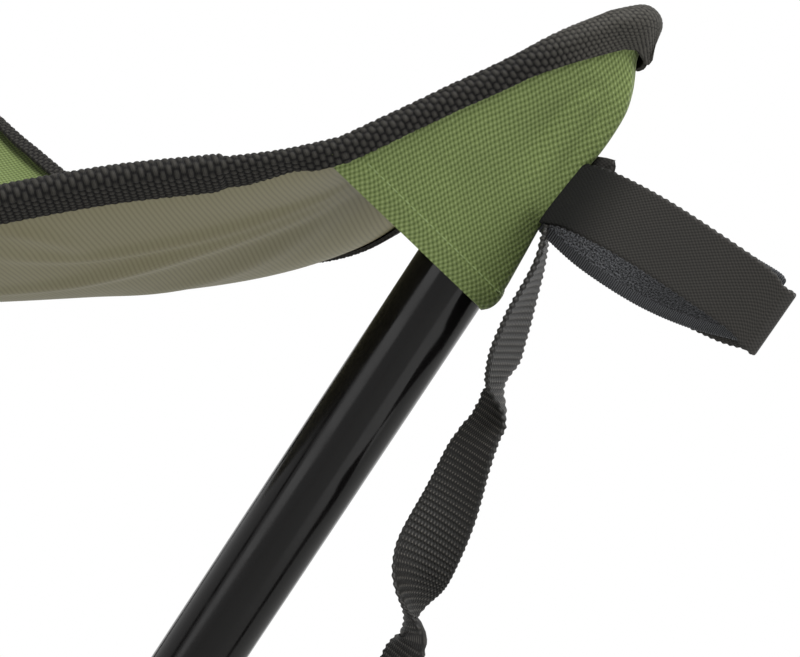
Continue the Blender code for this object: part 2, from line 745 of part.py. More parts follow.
def add_straps(hinge, paints):
    """The closure strap on its sewn edge, and the carrying strap with its lower loop."""
    lowest = CLOSURE_BELOW_TUBE_END - BACK_TAPE_START + BACK_TAPE_END_WIDTH / 2
    root = pocket_reach(lowest) + POCKET_CLOTH / 2 + RUNNING_GAP + CLOSURE_THICKNESS / 2
    sewn_edge = Matrix.Translation((root, 0.0, LEG_ABOVE_PIVOT - CLOSURE_BELOW_TUBE_END))
    closure = empty("closure_hinge", hinge, sewn_edge)
    place("closure_front_tape", front_tape_mesh(), paints["closure"], closure)
    place("closure_back_tape", back_tape_mesh(), paints["closure"], closure)
    place("carry_strap", carry_mesh(), paints["webbing"], hinge)
    place("carry_strap_loop", carry_loop_mesh(), paints["webbing"], hinge)


def centre_on_box(stool):
    """Move the stool so that the origin lies under the middle of its box, the slack strap left out."""
    bpy.context.view_layer.update()
    corners = []
    for piece in bpy.data.objects:
        if piece.type == "MESH" and not piece.hide_render and piece.name != "carry_strap":
            corners += [piece.matrix_world @ vertex.co for vertex in piece.data.vertices]
    for axis in (0, 1):
        values = [corner[axis] for corner in corners]
        stool.location[axis] = -(min(values) + max(values)) / 2
    bpy.context.view_layer.update()


clear_scene()
PAINTS = {
    "coated_tube": paint("black_powder_coat", (0.012, 0.011, 0.011), 0.22),
    "plug": paint("black_polythene", (0.02, 0.02, 0.02), 0.5),
    "rubber": paint("black_rubber", (0.018, 0.018, 0.018), 0.7),
    "nylon": paint("white_nylon", (0.72, 0.71, 0.67), 0.45),
    "steel": paint("zinc_plated_steel", (0.56, 0.57, 0.58), 0.32, 1.0),
    "seat_cloth": paint("green_oxford_cloth", (0.115, 0.185, 0.045), 0.75),
    "pocket_cloth": paint("green_pocket_cloth", (0.115, 0.185, 0.045), 0.75),
    "tape": paint("black_binding_tape", (0.014, 0.013, 0.012), 0.8),
    "closure": paint("black_closure_tape", (0.013, 0.012, 0.011), 0.6),
    "webbing": paint("black_webbing", (0.016, 0.015, 0.014), 0.7),
}
STOOL = empty("tripod_stool")
add_hub(STOOL, PAINTS["steel"])
add_fasteners(STOOL, PAINTS["steel"])
HINGES = add_legs(STOOL, PAINTS)
thicken(place("seat_panel", panel_mesh(), PAINTS["seat_cloth"], STOOL), CLOTH_THICKNESS)
place("edge_binding", binding_mesh(), PAINTS["tape"], STOOL)
add_straps(HINGES["a"], PAINTS)
centre_on_box(STOOL)
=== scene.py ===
import json
import math

import bmesh
import bpy
import numpy as np
from mathutils import Matrix, Vector


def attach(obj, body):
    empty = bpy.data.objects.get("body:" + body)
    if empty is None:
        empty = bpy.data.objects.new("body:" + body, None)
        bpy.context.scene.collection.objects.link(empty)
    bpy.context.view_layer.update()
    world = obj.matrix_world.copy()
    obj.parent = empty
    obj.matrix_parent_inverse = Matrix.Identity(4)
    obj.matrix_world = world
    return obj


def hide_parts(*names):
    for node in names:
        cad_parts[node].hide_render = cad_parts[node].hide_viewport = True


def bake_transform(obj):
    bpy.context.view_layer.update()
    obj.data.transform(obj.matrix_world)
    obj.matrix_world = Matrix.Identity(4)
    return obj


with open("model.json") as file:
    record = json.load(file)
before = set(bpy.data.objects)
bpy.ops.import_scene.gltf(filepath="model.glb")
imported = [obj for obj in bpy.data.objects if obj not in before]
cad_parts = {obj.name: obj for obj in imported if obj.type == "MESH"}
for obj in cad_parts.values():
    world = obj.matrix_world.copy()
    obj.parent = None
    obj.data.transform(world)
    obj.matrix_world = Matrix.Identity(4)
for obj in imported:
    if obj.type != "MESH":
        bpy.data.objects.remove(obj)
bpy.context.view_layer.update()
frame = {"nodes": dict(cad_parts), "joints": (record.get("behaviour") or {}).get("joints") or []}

# Camera, lamps and floor.
# The camera looks at one corner of the seat from close by, level with it, on a white studio ground.
# Soft boxes stand above, behind, at the left and low at the right, and a pale floor throws light up.
camera = bpy.data.objects.new("camera", bpy.data.cameras.new("camera"))
camera.location = (0.4887, -0.8924, 0.4027)
camera.rotation_euler = (math.radians(90.6), 0, math.radians(23.2))
camera.data.sensor_width = 36
camera.data.lens = 162.27
camera.data.clip_start = 0.01
bpy.context.scene.collection.objects.link(camera)
bpy.context.scene.camera = camera
bpy.context.scene.view_settings.view_transform = "Standard"


def linear(code):
    """A linear colour from an sRGB hex code."""
    parts = [int(code[start:start + 2], 16) / 255 for start in (1, 3, 5)]
    return (*[p / 12.92 if p <= 0.04045 else ((p + 0.055) / 1.055) ** 2.4 for p in parts], 1.0)


def add(tree, kind, sockets=None, **settings):
    """Adds a node to a tree: settings are its own, and each socket takes a value or a link."""
    made = tree.nodes.new(kind)
    for name, value in settings.items():
        setattr(made, name, value)
    for name, value in (sockets or {}).items():
        if isinstance(value, bpy.types.NodeSocket):
            tree.links.new(value, made.inputs[name])
        else:
            made.inputs[name].default_value = value
    return made


def maths(tree, operation, *values, kind="ShaderNodeMath"):
    """The result of a sum on values or links."""
    return add(tree, kind, dict(enumerate(values)), operation=operation).outputs[0]


def ranged(tree, value, start, end, low=0.0, high=1.0, curve="LINEAR"):
    """A value taken from one range to another and held inside it."""
    sockets = {"Value": value, "From Min": start, "From Max": end, "To Min": low, "To Max": high}
    return add(tree, "ShaderNodeMapRange", sockets, interpolation_type=curve).outputs[0]


def soft_box(name, place, target, size, power):
    """A square studio lamp turned to a point."""
    lamp = bpy.data.lights.new(name, "AREA")
    lamp.shape = "RECTANGLE"
    lamp.size, lamp.size_y = size
    lamp.energy = power
    box = bpy.data.objects.new(name, lamp)
    box.location = place
    box.rotation_euler = (Vector(target) - Vector(place)).to_track_quat("-Z", "Y").to_euler()
    bpy.context.scene.collection.objects.link(box)


SEAT_MIDDLE = (0.0, 0.0, 0.40)
soft_box("lamp_above", (0.80, -0.45, 1.45), (0.50, -0.30, 0.0), (0.8, 0.8), 26)
soft_box("lamp_back", (1.05, 1.20, 0.65), SEAT_MIDDLE, (0.9, 1.2), 6)
soft_box("lamp_left", (-1.05, -1.75, 0.95), SEAT_MIDDLE, (1.0, 1.9), 12)
soft_box("lamp_low", (0.38, -0.09, 0.15), (0.05, -0.02, 0.33), (0.32, 0.34), 0.38)

world = bpy.data.worlds.new("studio")
world.use_nodes = True
sky = world.node_tree
seen = add(sky, "ShaderNodeLightPath").outputs
direct = maths(sky, "MAXIMUM", seen["Is Camera Ray"], seen["Is Glossy Ray"])
direct = maths(sky, "MAXIMUM", direct, seen["Is Transmission Ray"])
AMBIENT = 0.20
strength = ranged(sky, direct, 0.0, 1.0, AMBIENT, 1.0)
sky.links.new(strength, sky.nodes["Background"].inputs["Strength"])
sky.nodes["Background"].inputs["Color"].default_value = (1, 1, 1, 1)
bpy.context.scene.world = world

FLOOR_HALF = 0.9
FLOOR_HEIGHT = -0.0003
FLOOR_CORNERS = ((-1, -1), (1, -1), (1, 1), (-1, 1))
floor = bpy.data.objects.new("floor", bpy.data.meshes.new("floor"))
corners = [(x * FLOOR_HALF, y * FLOOR_HALF, FLOOR_HEIGHT) for x, y in FLOOR_CORNERS]
floor.data.from_pydata(corners, [], [(0, 1, 2, 3)])
bpy.context.scene.collection.objects.link(floor)


def new_material(name, colour, roughness, **sockets):
    """A Principled material with the finish that is the same all over its surface."""
    material = bpy.data.materials.new(name)
    material.use_nodes = True
    shader = material.node_tree.nodes["Principled BSDF"]
    shader.inputs["Base Color"].default_value = linear(colour)
    shader.inputs["Roughness"].default_value = roughness
    for socket, value in sockets.items():
        shader.inputs[socket.replace("_", " ")].default_value = value
    return material, material.node_tree, shader


# Matt studio paper: even and pale, so that it only shows the shadow.
paper, _, _ = new_material("studio_paper", "#ECECEA", 0.9)
floor.data.materials.append(paper)

# Leg tubes.
# Three straight steel tubes with a gloss black powder coat, drilled through for the pivot's bush.
# Each turns on its own stud of the hub, so each rides on its own leg.
TUBE_RADIUS = 0.01125
TUBE_BORE = TUBE_RADIUS - 0.0012
TUBE_TOP = 0.3207
TUBE_BOTTOM = -0.262
BUSH_HOLE = 0.0048
DRILL_REACH = 0.02
ROUND_FACE = 0.9
LEGS = ("a", "b", "c")


def leg_frame(leg):
    """The frame of an open leg at its hinge: X out of the leg and down, Y along the stud, Z up the tube."""
    joint = next(j for j in frame["joints"] if j["name"] == f"leg_{leg}_fold")
    stud = -Vector(joint["axis"]).normalized()
    up = Vector((0, 0, 1))
    outward = stud.cross(up)
    lean = math.radians(joint["range_deg"][1])
    columns = [outward * math.cos(lean) - up * math.sin(lean), stud,
               up * math.cos(lean) + outward * math.sin(lean)]
    return Matrix.Translation(joint["pos_m"]) @ Matrix(columns).transposed().to_4x4()


def placed(points, matrix):
    """An array of points moved by a matrix."""
    return points @ np.array(matrix.to_3x3()).T + np.array(matrix.translation)


def skin(name, rows, materials, uv=None, cap=True, sharp=50, slots=None, tone=None):
    """A closed piece through rows of points, each of which runs round the piece's section."""
    count, around = rows.shape[:2]
    first = np.arange(count - 1)[:, None] * around + np.arange(around)
    beside = np.arange(count - 1)[:, None] * around + (np.arange(around) + 1) % around
    quads = np.stack([first, beside, beside + around, first + around], -1).reshape(-1, 4)
    faces = quads.tolist()
    if cap:
        faces.append(list(range(around)))
        faces.append([(count - 1) * around + step for step in range(around)])
    mesh = bpy.data.meshes.new(name)
    mesh.from_pydata(rows.reshape(-1, 3).tolist(), [], faces)
    for material in materials:
        mesh.materials.append(material)
    if slots is not None:
        per_face = np.zeros(len(faces), np.int32)
        per_face[:len(quads)] = np.tile(slots, count - 1)
        mesh.polygons.foreach_set("material_index", per_face)
    if uv is not None:
        wide = np.concatenate([uv, uv[:, :1]], 1) if uv.shape[1] == around else uv
        corners = np.stack([wide[:-1, :-1], wide[:-1, 1:], wide[1:, 1:], wide[1:, :-1]], 2).reshape(-1, 2)
        per_loop = np.zeros((len(mesh.loops), 2), np.float32)
        per_loop[:len(corners)] = corners
        mesh.uv_layers.new(name="UVMap").data.foreach_set("uv", per_loop.ravel())
    if tone is not None:
        heights = mesh.attributes.new("tone", "FLOAT", "POINT")
        heights.data.foreach_set("value", tone.astype(np.float32).ravel())
    shell = bmesh.new()
    shell.from_mesh(mesh)
    bmesh.ops.remove_doubles(shell, verts=shell.verts, dist=1e-7)
    bmesh.ops.recalc_face_normals(shell, faces=shell.faces)
    shell.to_mesh(mesh)
    shell.free()
    mesh.shade_smooth()
    mesh.set_sharp_from_angle(angle=math.radians(sharp))
    made = bpy.data.objects.new(name, mesh)
    bpy.context.scene.collection.objects.link(made)
    return made


def turned(profile, sides, axis="Z", start=0.0):
    """Rows of points of a shape turned on an axis; each row is the whole profile at one angle."""
    turns = np.linspace(0, 2 * math.pi, sides + 1) + start
    rows = np.stack([np.stack([reach * np.cos(turns), reach * np.sin(turns), 0 * turns + along], -1)
                     for reach, along in profile], 1)
    return rows if axis == "Z" else rows[..., [0, 2, 1]]


def dressed(made, body, node):
    """Ties a finished piece to its body and hides the solid it stands for."""
    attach(made, body)
    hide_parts(node)


def noise(tree, place, scale, detail, roughness=0.5):
    """Noise from 0 to 1 at a place, with this many features to the metre."""
    sockets = {"Vector": place, "Scale": scale, "Detail": detail, "Roughness": roughness}
    return add(tree, "ShaderNodeTexNoise", sockets).outputs["Fac"]


def bumped(tree, shader, height, strength, depth):
    """Gives a surface the relief of a height."""
    bump = add(tree, "ShaderNodeBump", {"Height": height, "Strength": strength, "Distance": depth})
    tree.links.new(bump.outputs[0], shader.inputs["Normal"])


# Gloss powder coat on steel: deep black, with long clear streaks broken by a faint orange peel.
powder_coat, tree, shader = new_material("gloss_black_powder_coat", "#0C0B0B", 0.14, IOR=1.28)
place = add(tree, "ShaderNodeTexCoord").outputs["Object"]
PEEL_MM = 1.6
dust = noise(tree, place, 90.0, 6.0)
tree.links.new(ranged(tree, dust, 0.35, 0.75, 0.12, 0.24), shader.inputs["Roughness"])
bumped(tree, shader, noise(tree, place, 1000 / PEEL_MM, 1.0), 0.03, 0.0002)

for leg in LEGS:
    profile = [(TUBE_RADIUS, TUBE_BOTTOM), (TUBE_RADIUS, TUBE_TOP), (TUBE_BORE, TUBE_TOP),
               (TUBE_BORE, TUBE_BOTTOM)]
    tube = skin("leg_tube_" + leg + "_coated", turned(profile, 96), [powder_coat], cap=False)
    profile = [(0, -DRILL_REACH), (BUSH_HOLE, -DRILL_REACH), (BUSH_HOLE, DRILL_REACH), (0, DRILL_REACH)]
    drill = skin("drill_" + leg, turned(profile, 32, "Y"), [], cap=False)
    cut = tube.modifiers.new("bush_hole", "BOOLEAN")
    cut.object = drill
    bored = bpy.data.meshes.new_from_object(tube.evaluated_get(bpy.context.evaluated_depsgraph_get()))
    tube.modifiers.clear()
    bpy.data.objects.remove(drill)
    tube.data = bored
    normals = []
    for face in bored.polygons:
        outward = face.normal.dot(Vector((face.center.x, face.center.y, 0)).normalized())
        for index in face.vertices:
            spoke = Vector((*bored.vertices[index].co.xy, 0)).normalized()
            normals.append(spoke * math.copysign(1, outward) if abs(outward) > ROUND_FACE else face.normal)
    bored.shade_smooth()
    bored.normals_split_custom_set(normals)
    bored.transform(leg_frame(leg))
    dressed(tube, "leg_" + leg, "leg_tube_" + leg)

# Top plugs and foot caps.
# A polythene plug closes each tube's upper end, hidden in its pocket, and a ribbed rubber cup grips its foot.
# The cup's sole is cut level with the floor.
FOOT_RADIUS = 0.01405
FOOT_BORE = 0.01155
FOOT_LIP = -0.2283
FOOT_FLOOR = -0.2623
FOOT_BARREL = -0.250
FOOT_RIBS = (-0.2330, -0.2370, -0.2410)
RIB_DEPTH = 0.0007
RIB_WIDTH = 0.0022
BORE_EASE = 0.0006
LIP_EASE = 0.0010
LIP_ROUNDING = 0.0003
SOLE_EASE = 0.0012
SOLE = -1.0

# Moulded polythene: even black with a soft sheen.
polythene, tree, shader = new_material("black_polythene", "#1B1B1B", 0.45)
place = add(tree, "ShaderNodeTexCoord").outputs["Object"]
bumped(tree, shader, noise(tree, place, 1500.0, 3.0), 0.15, 0.0001)


def tinted(tree, share, low, high):
    """A colour between two, each a hex code or a link."""
    low, high = (linear(end) if isinstance(end, str) else end for end in (low, high))
    return add(tree, "ShaderNodeMix", {"Factor": share, 6: low, 7: high}, data_type="RGBA").outputs[2]


# Moulded rubber: matt near-black, greyer where it is scuffed.
rubber, tree, shader = new_material("moulded_rubber", "#1E1D1C", 0.7)
place = add(tree, "ShaderNodeTexCoord").outputs["Object"]
scuff = noise(tree, place, 260.0, 8.0, 0.7)
tint = tinted(tree, ranged(tree, scuff, 0.5, 0.8), "#1B1A19", "#3B3A37")
tree.links.new(tint, shader.inputs["Base Color"])
bumped(tree, shader, scuff, 0.3, 0.0002)

# The points of a foot's sole start far down, marked by their height, and are then brought to the floor.
for leg in LEGS:
    frame["nodes"]["top_plug_" + leg].data.materials.clear()
    frame["nodes"]["top_plug_" + leg].data.materials.append(polythene)
    matrix = leg_frame(leg)
    profile = [(FOOT_BORE, FOOT_FLOOR), (FOOT_BORE, FOOT_LIP - BORE_EASE), (FOOT_BORE + BORE_EASE, FOOT_LIP),
               (FOOT_RADIUS - LIP_EASE, FOOT_LIP), (FOOT_RADIUS - LIP_ROUNDING, FOOT_LIP - LIP_ROUNDING),
               (FOOT_RADIUS, FOOT_LIP - LIP_EASE)]
    for rib in FOOT_RIBS:
        for share in np.linspace(0, 1, 7):
            groove = RIB_DEPTH * math.sin(math.pi * share)
            profile.append((FOOT_RADIUS - groove, rib + RIB_WIDTH * (0.5 - share)))
    profile += [(FOOT_RADIUS, FOOT_BARREL), (FOOT_RADIUS, SOLE), (FOOT_RADIUS - SOLE_EASE, SOLE), (0, SOLE),
                (0, FOOT_FLOOR)]
    rows = turned(profile, 72)
    sole = np.isclose(rows[..., 2], SOLE)
    level = -(matrix.translation.z + rows[..., 0] * matrix.col[0].z) / matrix.col[2].z
    rows[..., 2] = np.where(sole, level, rows[..., 2])
    edge = np.isclose(np.hypot(rows[..., 0], rows[..., 1]), FOOT_RADIUS) & sole
    rows[..., 2] += np.where(edge, SOLE_EASE, 0)
    foot = skin("foot_cap_" + leg + "_rubber", placed(rows, matrix), [rubber], cap=False, sharp=60)
    dressed(foot, "leg_" + leg, "foot_cap_" + leg)

# Central pivot.
# A plated steel hexagon with three studs holds the legs; a nylon bush lets each leg turn on its stud.
# A washer and a dome nut on the stud's end keep the leg on. The bushes ride on the legs, the rest on the hub.
HUB_OFFSET = 0.01855
HUB_FLATS = 0.0055
HUB_HALF_HEIGHT = 0.008
STUD_RADIUS = 0.003
STUD_END = 0.0364
STUD_HOLE = 0.0033
BUSH_RADIUS = 0.0045
BUSH_END = 0.01125
FLANGE_RADIUS = 0.0070
FLANGE_FACES = (-0.01275, -0.01155)
FLANGE_EASE = 0.0003
WASHER_RADIUS = 0.0070
WASHER_FACES = (0.0301, 0.0311)
WASHER_EASE = 0.0002
NUT_SEAT = 0.0314
NUT_SHOULDER = 0.0364
NUT_CROWN = 0.0404
NUT_HALF_FLATS = 0.005
NUT_CHAMFER = 1.05
DOME_SHARE = 0.95
EASED = 0.0004
HEX_STEPS = 72

# Bright zinc plate on steel: pale metal, a little uneven in its gloss.
zinc, tree, shader = new_material("zinc_plated_steel", "#B4B7BA", 0.3, Metallic=1.0)
place = add(tree, "ShaderNodeTexCoord").outputs["Object"]
cloud = noise(tree, place, 400.0, 5.0)
tree.links.new(ranged(tree, cloud, 0.0, 1.0, 0.2, 0.42), shader.inputs["Roughness"])

# Natural nylon: milky white that lets a little light in.
nylon, tree, shader = new_material("natural_nylon", "#DAD7CC", 0.4, Subsurface_Weight=0.1)
shader.inputs["Subsurface Radius"].default_value = (0.001, 0.001, 0.001)
place = add(tree, "ShaderNodeTexCoord").outputs["Object"]
bumped(tree, shader, noise(tree, place, 900.0, 3.0), 0.1, 0.0001)


def hexagon(half_flats):
    """Distance from the middle to a hexagon's side at each angle of a turn."""
    turns = np.linspace(0, 2 * math.pi, HEX_STEPS + 1)
    return half_flats / np.cos(turns % math.radians(60) - math.radians(30))


hub_parts = []
for leg in LEGS:
    matrix = leg_frame(leg)
    stud = matrix.col[1].to_3d()
    hub_frame = Matrix.Translation(matrix.translation - stud * HUB_OFFSET)
    hub_frame = hub_frame @ Matrix([stud.cross(Vector((0, 0, 1))), stud, (0, 0, 1)]).transposed().to_4x4()
    outer, inner = FLANGE_FACES
    profile = [(STUD_HOLE, outer), (FLANGE_RADIUS - EASED, outer), (FLANGE_RADIUS, outer + FLANGE_EASE),
               (FLANGE_RADIUS, inner - FLANGE_EASE), (FLANGE_RADIUS - FLANGE_EASE, inner),
               (BUSH_RADIUS, inner), (BUSH_RADIUS, BUSH_END), (STUD_HOLE, BUSH_END)]
    rows = placed(turned(profile, 48, "Y"), matrix)
    bush = skin("pivot_bush_" + leg + "_nylon", rows, [nylon], cap=False)
    dressed(bush, "leg_" + leg, "pivot_bush_" + leg)
    inner, outer = WASHER_FACES
    profile = [(STUD_HOLE, inner), (WASHER_RADIUS - WASHER_EASE, inner), (WASHER_RADIUS, inner + WASHER_EASE),
               (WASHER_RADIUS, outer - WASHER_EASE), (WASHER_RADIUS - WASHER_EASE, outer), (STUD_HOLE, outer)]
    rows = placed(turned(profile, 48, "Y"), hub_frame)
    washer = skin("pivot_washer_" + leg + "_zinc", rows, [zinc], cap=False)
    dressed(washer, "seat_hub", "pivot_washer_" + leg)
    flats = hexagon(NUT_HALF_FLATS)
    rounded = np.minimum(flats, NUT_HALF_FLATS * NUT_CHAMFER)
    profile = [(0, NUT_SEAT), (rounded, NUT_SEAT), (flats, NUT_SEAT + EASED), (flats, NUT_SHOULDER - EASED),
               (rounded, NUT_SHOULDER)]
    for climb in np.linspace(0, math.pi / 2, 9):
        crown = NUT_SHOULDER + (NUT_CROWN - NUT_SHOULDER) * math.sin(climb)
        profile.append((NUT_HALF_FLATS * DOME_SHARE * math.cos(climb), crown))
    rows = turned(profile, HEX_STEPS, "Y")
    nut = skin("pivot_nut_" + leg + "_zinc", placed(rows, hub_frame), [zinc], cap=False, sharp=35)
    dressed(nut, "seat_hub", "pivot_nut_" + leg)
    profile = [(0, 0), (STUD_RADIUS, 0), (STUD_RADIUS, STUD_END), (0, STUD_END)]
    hub_parts.append(skin("hub_stud_" + leg, placed(turned(profile, 32, "Y"), hub_frame), [zinc], cap=False))
    if leg == LEGS[0]:
        flats = hexagon(HUB_FLATS)
        profile = [(0, -HUB_HALF_HEIGHT), (flats - EASED, -HUB_HALF_HEIGHT), (flats, EASED - HUB_HALF_HEIGHT),
                   (flats, HUB_HALF_HEIGHT - EASED), (flats - EASED, HUB_HALF_HEIGHT), (0, HUB_HALF_HEIGHT)]
        rows = turned(profile, HEX_STEPS, start=math.radians(30))
        hub_core = skin("pivot_hub_zinc", placed(rows, hub_frame), [zinc], cap=False, sharp=35)
hub_mesh = bmesh.new()
for part in [hub_core] + hub_parts:
    hub_mesh.from_mesh(part.data)
hub_mesh.to_mesh(hub_core.data)
hub_mesh.free()
for part in hub_parts:
    bpy.data.objects.remove(part)
dressed(hub_core, "seat_hub", "pivot_hub")

# Seat cloth.
# One triangle of coated oxford cloth, green above and taupe below, slung between the three tube ends.
# It is made in three sectors that meet at the edges' middles.
CLOTH = 0.001
TUBE_END = 0.323
TIP_BEYOND_TUBE = 0.019
TIP_ROUNDING = 0.012
RIM_CLEARANCE = 0.002
EDGE_SLOPE = math.tan(math.radians(25.6))
EDGE_SAG = 0.0525
EDGE_SKEW = 0.006
CENTRE_SAG = 0.0745
SAG_BEND = 0.012
SAG_FULLNESS = 0.8
POCKET_EDGE = 0.081
TENT_LIFT = 0.006
TENT_LENGTH = 0.014
TENT_WIDTH = 0.013
EDGE_EASE = 0.0003
COS30 = math.cos(math.radians(30))
CORNERS = {"a": 0.0, "b": math.radians(-120), "c": math.radians(120)}

leg_a = leg_frame("a")
hub_middle = leg_a.translation - leg_a.col[1].to_3d() * HUB_OFFSET
tube_end = leg_a @ Vector((0, 0, TUBE_END))
lean = math.atan2(leg_a.col[2].xy.length, leg_a.col[2].z)
TUBE_END_RADIUS = (tube_end - hub_middle).xy.length
RIM_RADIUS = TUBE_END_RADIUS - TUBE_RADIUS * math.cos(lean)
TIP_RADIUS = TUBE_END_RADIUS + TIP_BEYOND_TUBE
SHARP_RADIUS = TIP_RADIUS + TIP_ROUNDING
SHARP_SIDE = 2 * SHARP_RADIUS * COS30
TIP_ALONG_EDGE = TIP_ROUNDING * COS30


def edge_drop(along):
    """How far a seat edge lies below the tips: straight past each pocket, slack between them."""
    half = SHARP_SIDE / 2 - TIP_ALONG_EDGE
    near = np.minimum(along, 2 * half - along)
    free = (near - POCKET_EDGE) / (half - POCKET_EDGE)
    straight = EDGE_SLOPE * near
    slack = EDGE_SAG - (EDGE_SAG - EDGE_SLOPE * POCKET_EDGE) * (1 - free) ** 2
    share = np.clip(0.5 + 0.5 * (slack - straight) / SAG_BEND, 0, 1)
    drop = straight * share + slack * (1 - share) - SAG_BEND * share * (1 - share)
    skew = EDGE_SKEW * np.sin(math.pi * np.maximum(free, 0))
    return np.where(along < half, drop - skew, drop + skew)


def seat_drop(x, y):
    """How far the cloth lies below the tips at plan points round the hub's axis."""
    corners = [(SHARP_RADIUS * math.cos(a), SHARP_RADIUS * math.sin(a)) for a in CORNERS.values()]
    drops = weights = 0.0
    fullness = 1.0
    for index, (cx, cy) in enumerate(corners):
        nx, ny = corners[(index + 1) % 3]
        ex, ey = (nx - cx) / SHARP_SIDE, (ny - cy) / SHARP_SIDE
        along = (x - cx) * ex + (y - cy) * ey
        away = np.maximum((x - cx) * ey - (y - cy) * ex, 0.0)
        weight = 1.0 / (away + EDGE_EASE) ** 2
        drops = drops + weight * edge_drop(along - TIP_ALONG_EDGE)
        weights = weights + weight
        fullness = fullness * 2 * away / SHARP_RADIUS
    tent = 0.0
    for angle in CORNERS.values():
        outward = x * math.cos(angle) + y * math.sin(angle)
        aside = y * math.cos(angle) - x * math.sin(angle)
        tent = tent + np.exp(-((outward - RIM_RADIUS) / TENT_LENGTH) ** 2 - (aside / TENT_WIDTH) ** 2)
    return drops / weights + (CENTRE_SAG - EDGE_SAG) * fullness ** SAG_FULLNESS - TENT_LIFT * tent


TIP_HEIGHT = (tube_end.z + TUBE_RADIUS * math.sin(lean) + float(seat_drop(RIM_RADIUS, 0.0))
              + CLOTH / 2 + RIM_CLEARANCE)


def seat_points(plan):
    """Points of the cloth's middle surface over plan points."""
    heights = TIP_HEIGHT - seat_drop(plan[..., 0], plan[..., 1])
    return np.stack([plan[..., 0] + hub_middle.x, plan[..., 1] + hub_middle.y, heights], -1)


def spin(angle):
    """A turn in plan through an angle, for points to be multiplied by."""
    return np.array([[math.cos(angle), math.sin(angle)], [-math.sin(angle), math.cos(angle)]])


def rim(angle, step):
    """Plan points of the rim round one corner, from edge middle to edge middle, with outward directions."""
    run = SHARP_SIDE / 2 - TIP_ROUNDING * COS30 / 0.5
    arc = np.radians(np.linspace(-60, 60, 1 + round(TIP_ROUNDING * math.radians(120) / step)))
    straight = np.linspace(1, 0, 1 + round(run / step))[:-1] * run
    centre = TIP_RADIUS - TIP_ROUNDING
    side = np.stack([centre + TIP_ROUNDING / 2 - straight * COS30, -TIP_ROUNDING * COS30 - straight / 2], -1)
    bend = np.stack([centre + TIP_ROUNDING * np.cos(arc), TIP_ROUNDING * np.sin(arc)], -1)
    points = np.concatenate([side, bend, side[::-1] * (1, -1)])
    turns = np.concatenate([np.full(len(side), arc[0]), arc, np.full(len(side), arc[-1])])
    outward = np.stack([np.cos(turns + angle), np.sin(turns + angle)], -1)
    return points @ spin(angle), outward


FOLDS = (
    ([(0.020, -0.024), (0.043, -0.012), (0.060, -0.009), (0.087, -0.007), (0.114, 0.000), (0.128, 0.002)],
     0.0060, 0.0019),
    ([(0.052, -0.066), (0.056, -0.046), (0.067, -0.028), (0.092, -0.016), (0.117, -0.007), (0.130, -0.004)],
     0.0040, 0.0012),
    ([(0.063, -0.078), (0.066, -0.064), (0.067, -0.050), (0.066, -0.036)], 0.0035, 0.0010),
    ([(0.046, 0.030), (0.070, 0.024), (0.098, 0.018), (0.122, 0.010)], 0.0070, 0.0010),
)
FOLD_ENDS = 0.04
FOLD_FADE = 0.7
CALM_SHARE = 0.2


def eased(value, start, end):
    """A smooth step from 0 to 1."""
    share = np.clip((value - start) / (end - start), 0, 1)
    return share * share * (3 - 2 * share)


def smooth(points, steps):
    """Points of a smooth curve through the given ones."""
    points = np.array(points, float).reshape(len(points), -1)
    line = []
    for index in range(len(points) - 1):
        before, start = points[max(index - 1, 0)], points[index]
        end, after = points[index + 1], points[min(index + 2, len(points) - 1)]
        t = np.linspace(0, 1, steps, endpoint=False)[:, None]
        square = before * 2 - start * 5 + end * 4 - after
        cube = after - end * 3 + start * 3 - before
        line.append((start * 2 + (end - before) * t + square * t ** 2 + cube * t ** 3) / 2)
    return np.concatenate(line + [points[-1:]])


def seat_folds(plan):
    """Soft slack folds that run out to the pockets; each is given by its line, half width and depth."""
    depth = 0.0
    for angle in CORNERS.values():
        local = plan @ spin(-angle)
        for line, half_width, height in FOLDS:
            crest = smooth(line, 14)
            fade = np.sin(math.pi * np.linspace(FOLD_ENDS, 1 - FOLD_ENDS, len(crest))) ** FOLD_FADE
            away = np.linalg.norm(local[..., None, :] - crest, axis=-1)
            depth = depth + height * np.max(fade * np.exp(-(away / half_width) ** 2), -1)
    return -depth


def weave(tree, uv, along_mm, across_mm, wander_mm, float_length=1.2):
    """Height of a plain weave from -1 to 1, with threads of these pitches that wander a little."""
    drift = add(tree, "ShaderNodeTexNoise", {"Vector": uv, "Scale": 220.0, "Detail": 2.0}).outputs["Color"]
    drift = maths(tree, "SUBTRACT", drift, (0.5, 0.5, 0.5), kind="ShaderNodeVectorMath")
    drift = maths(tree, "MULTIPLY", drift, (wander_mm / 1000,) * 3, kind="ShaderNodeVectorMath")
    moved = maths(tree, "ADD", uv, drift, kind="ShaderNodeVectorMath")
    turns = (1000 * math.pi / along_mm, 1000 * math.pi / across_mm, 0)
    threads = maths(tree, "MULTIPLY", moved, turns, kind="ShaderNodeVectorMath")
    threads = maths(tree, "COSINE", threads, kind="ShaderNodeVectorMath")
    parts = add(tree, "ShaderNodeSeparateXYZ", {0: threads}).outputs
    floats = maths(tree, "TANH", maths(tree, "MULTIPLY", parts[1], float_length))
    return maths(tree, "MULTIPLY", parts[0], floats)
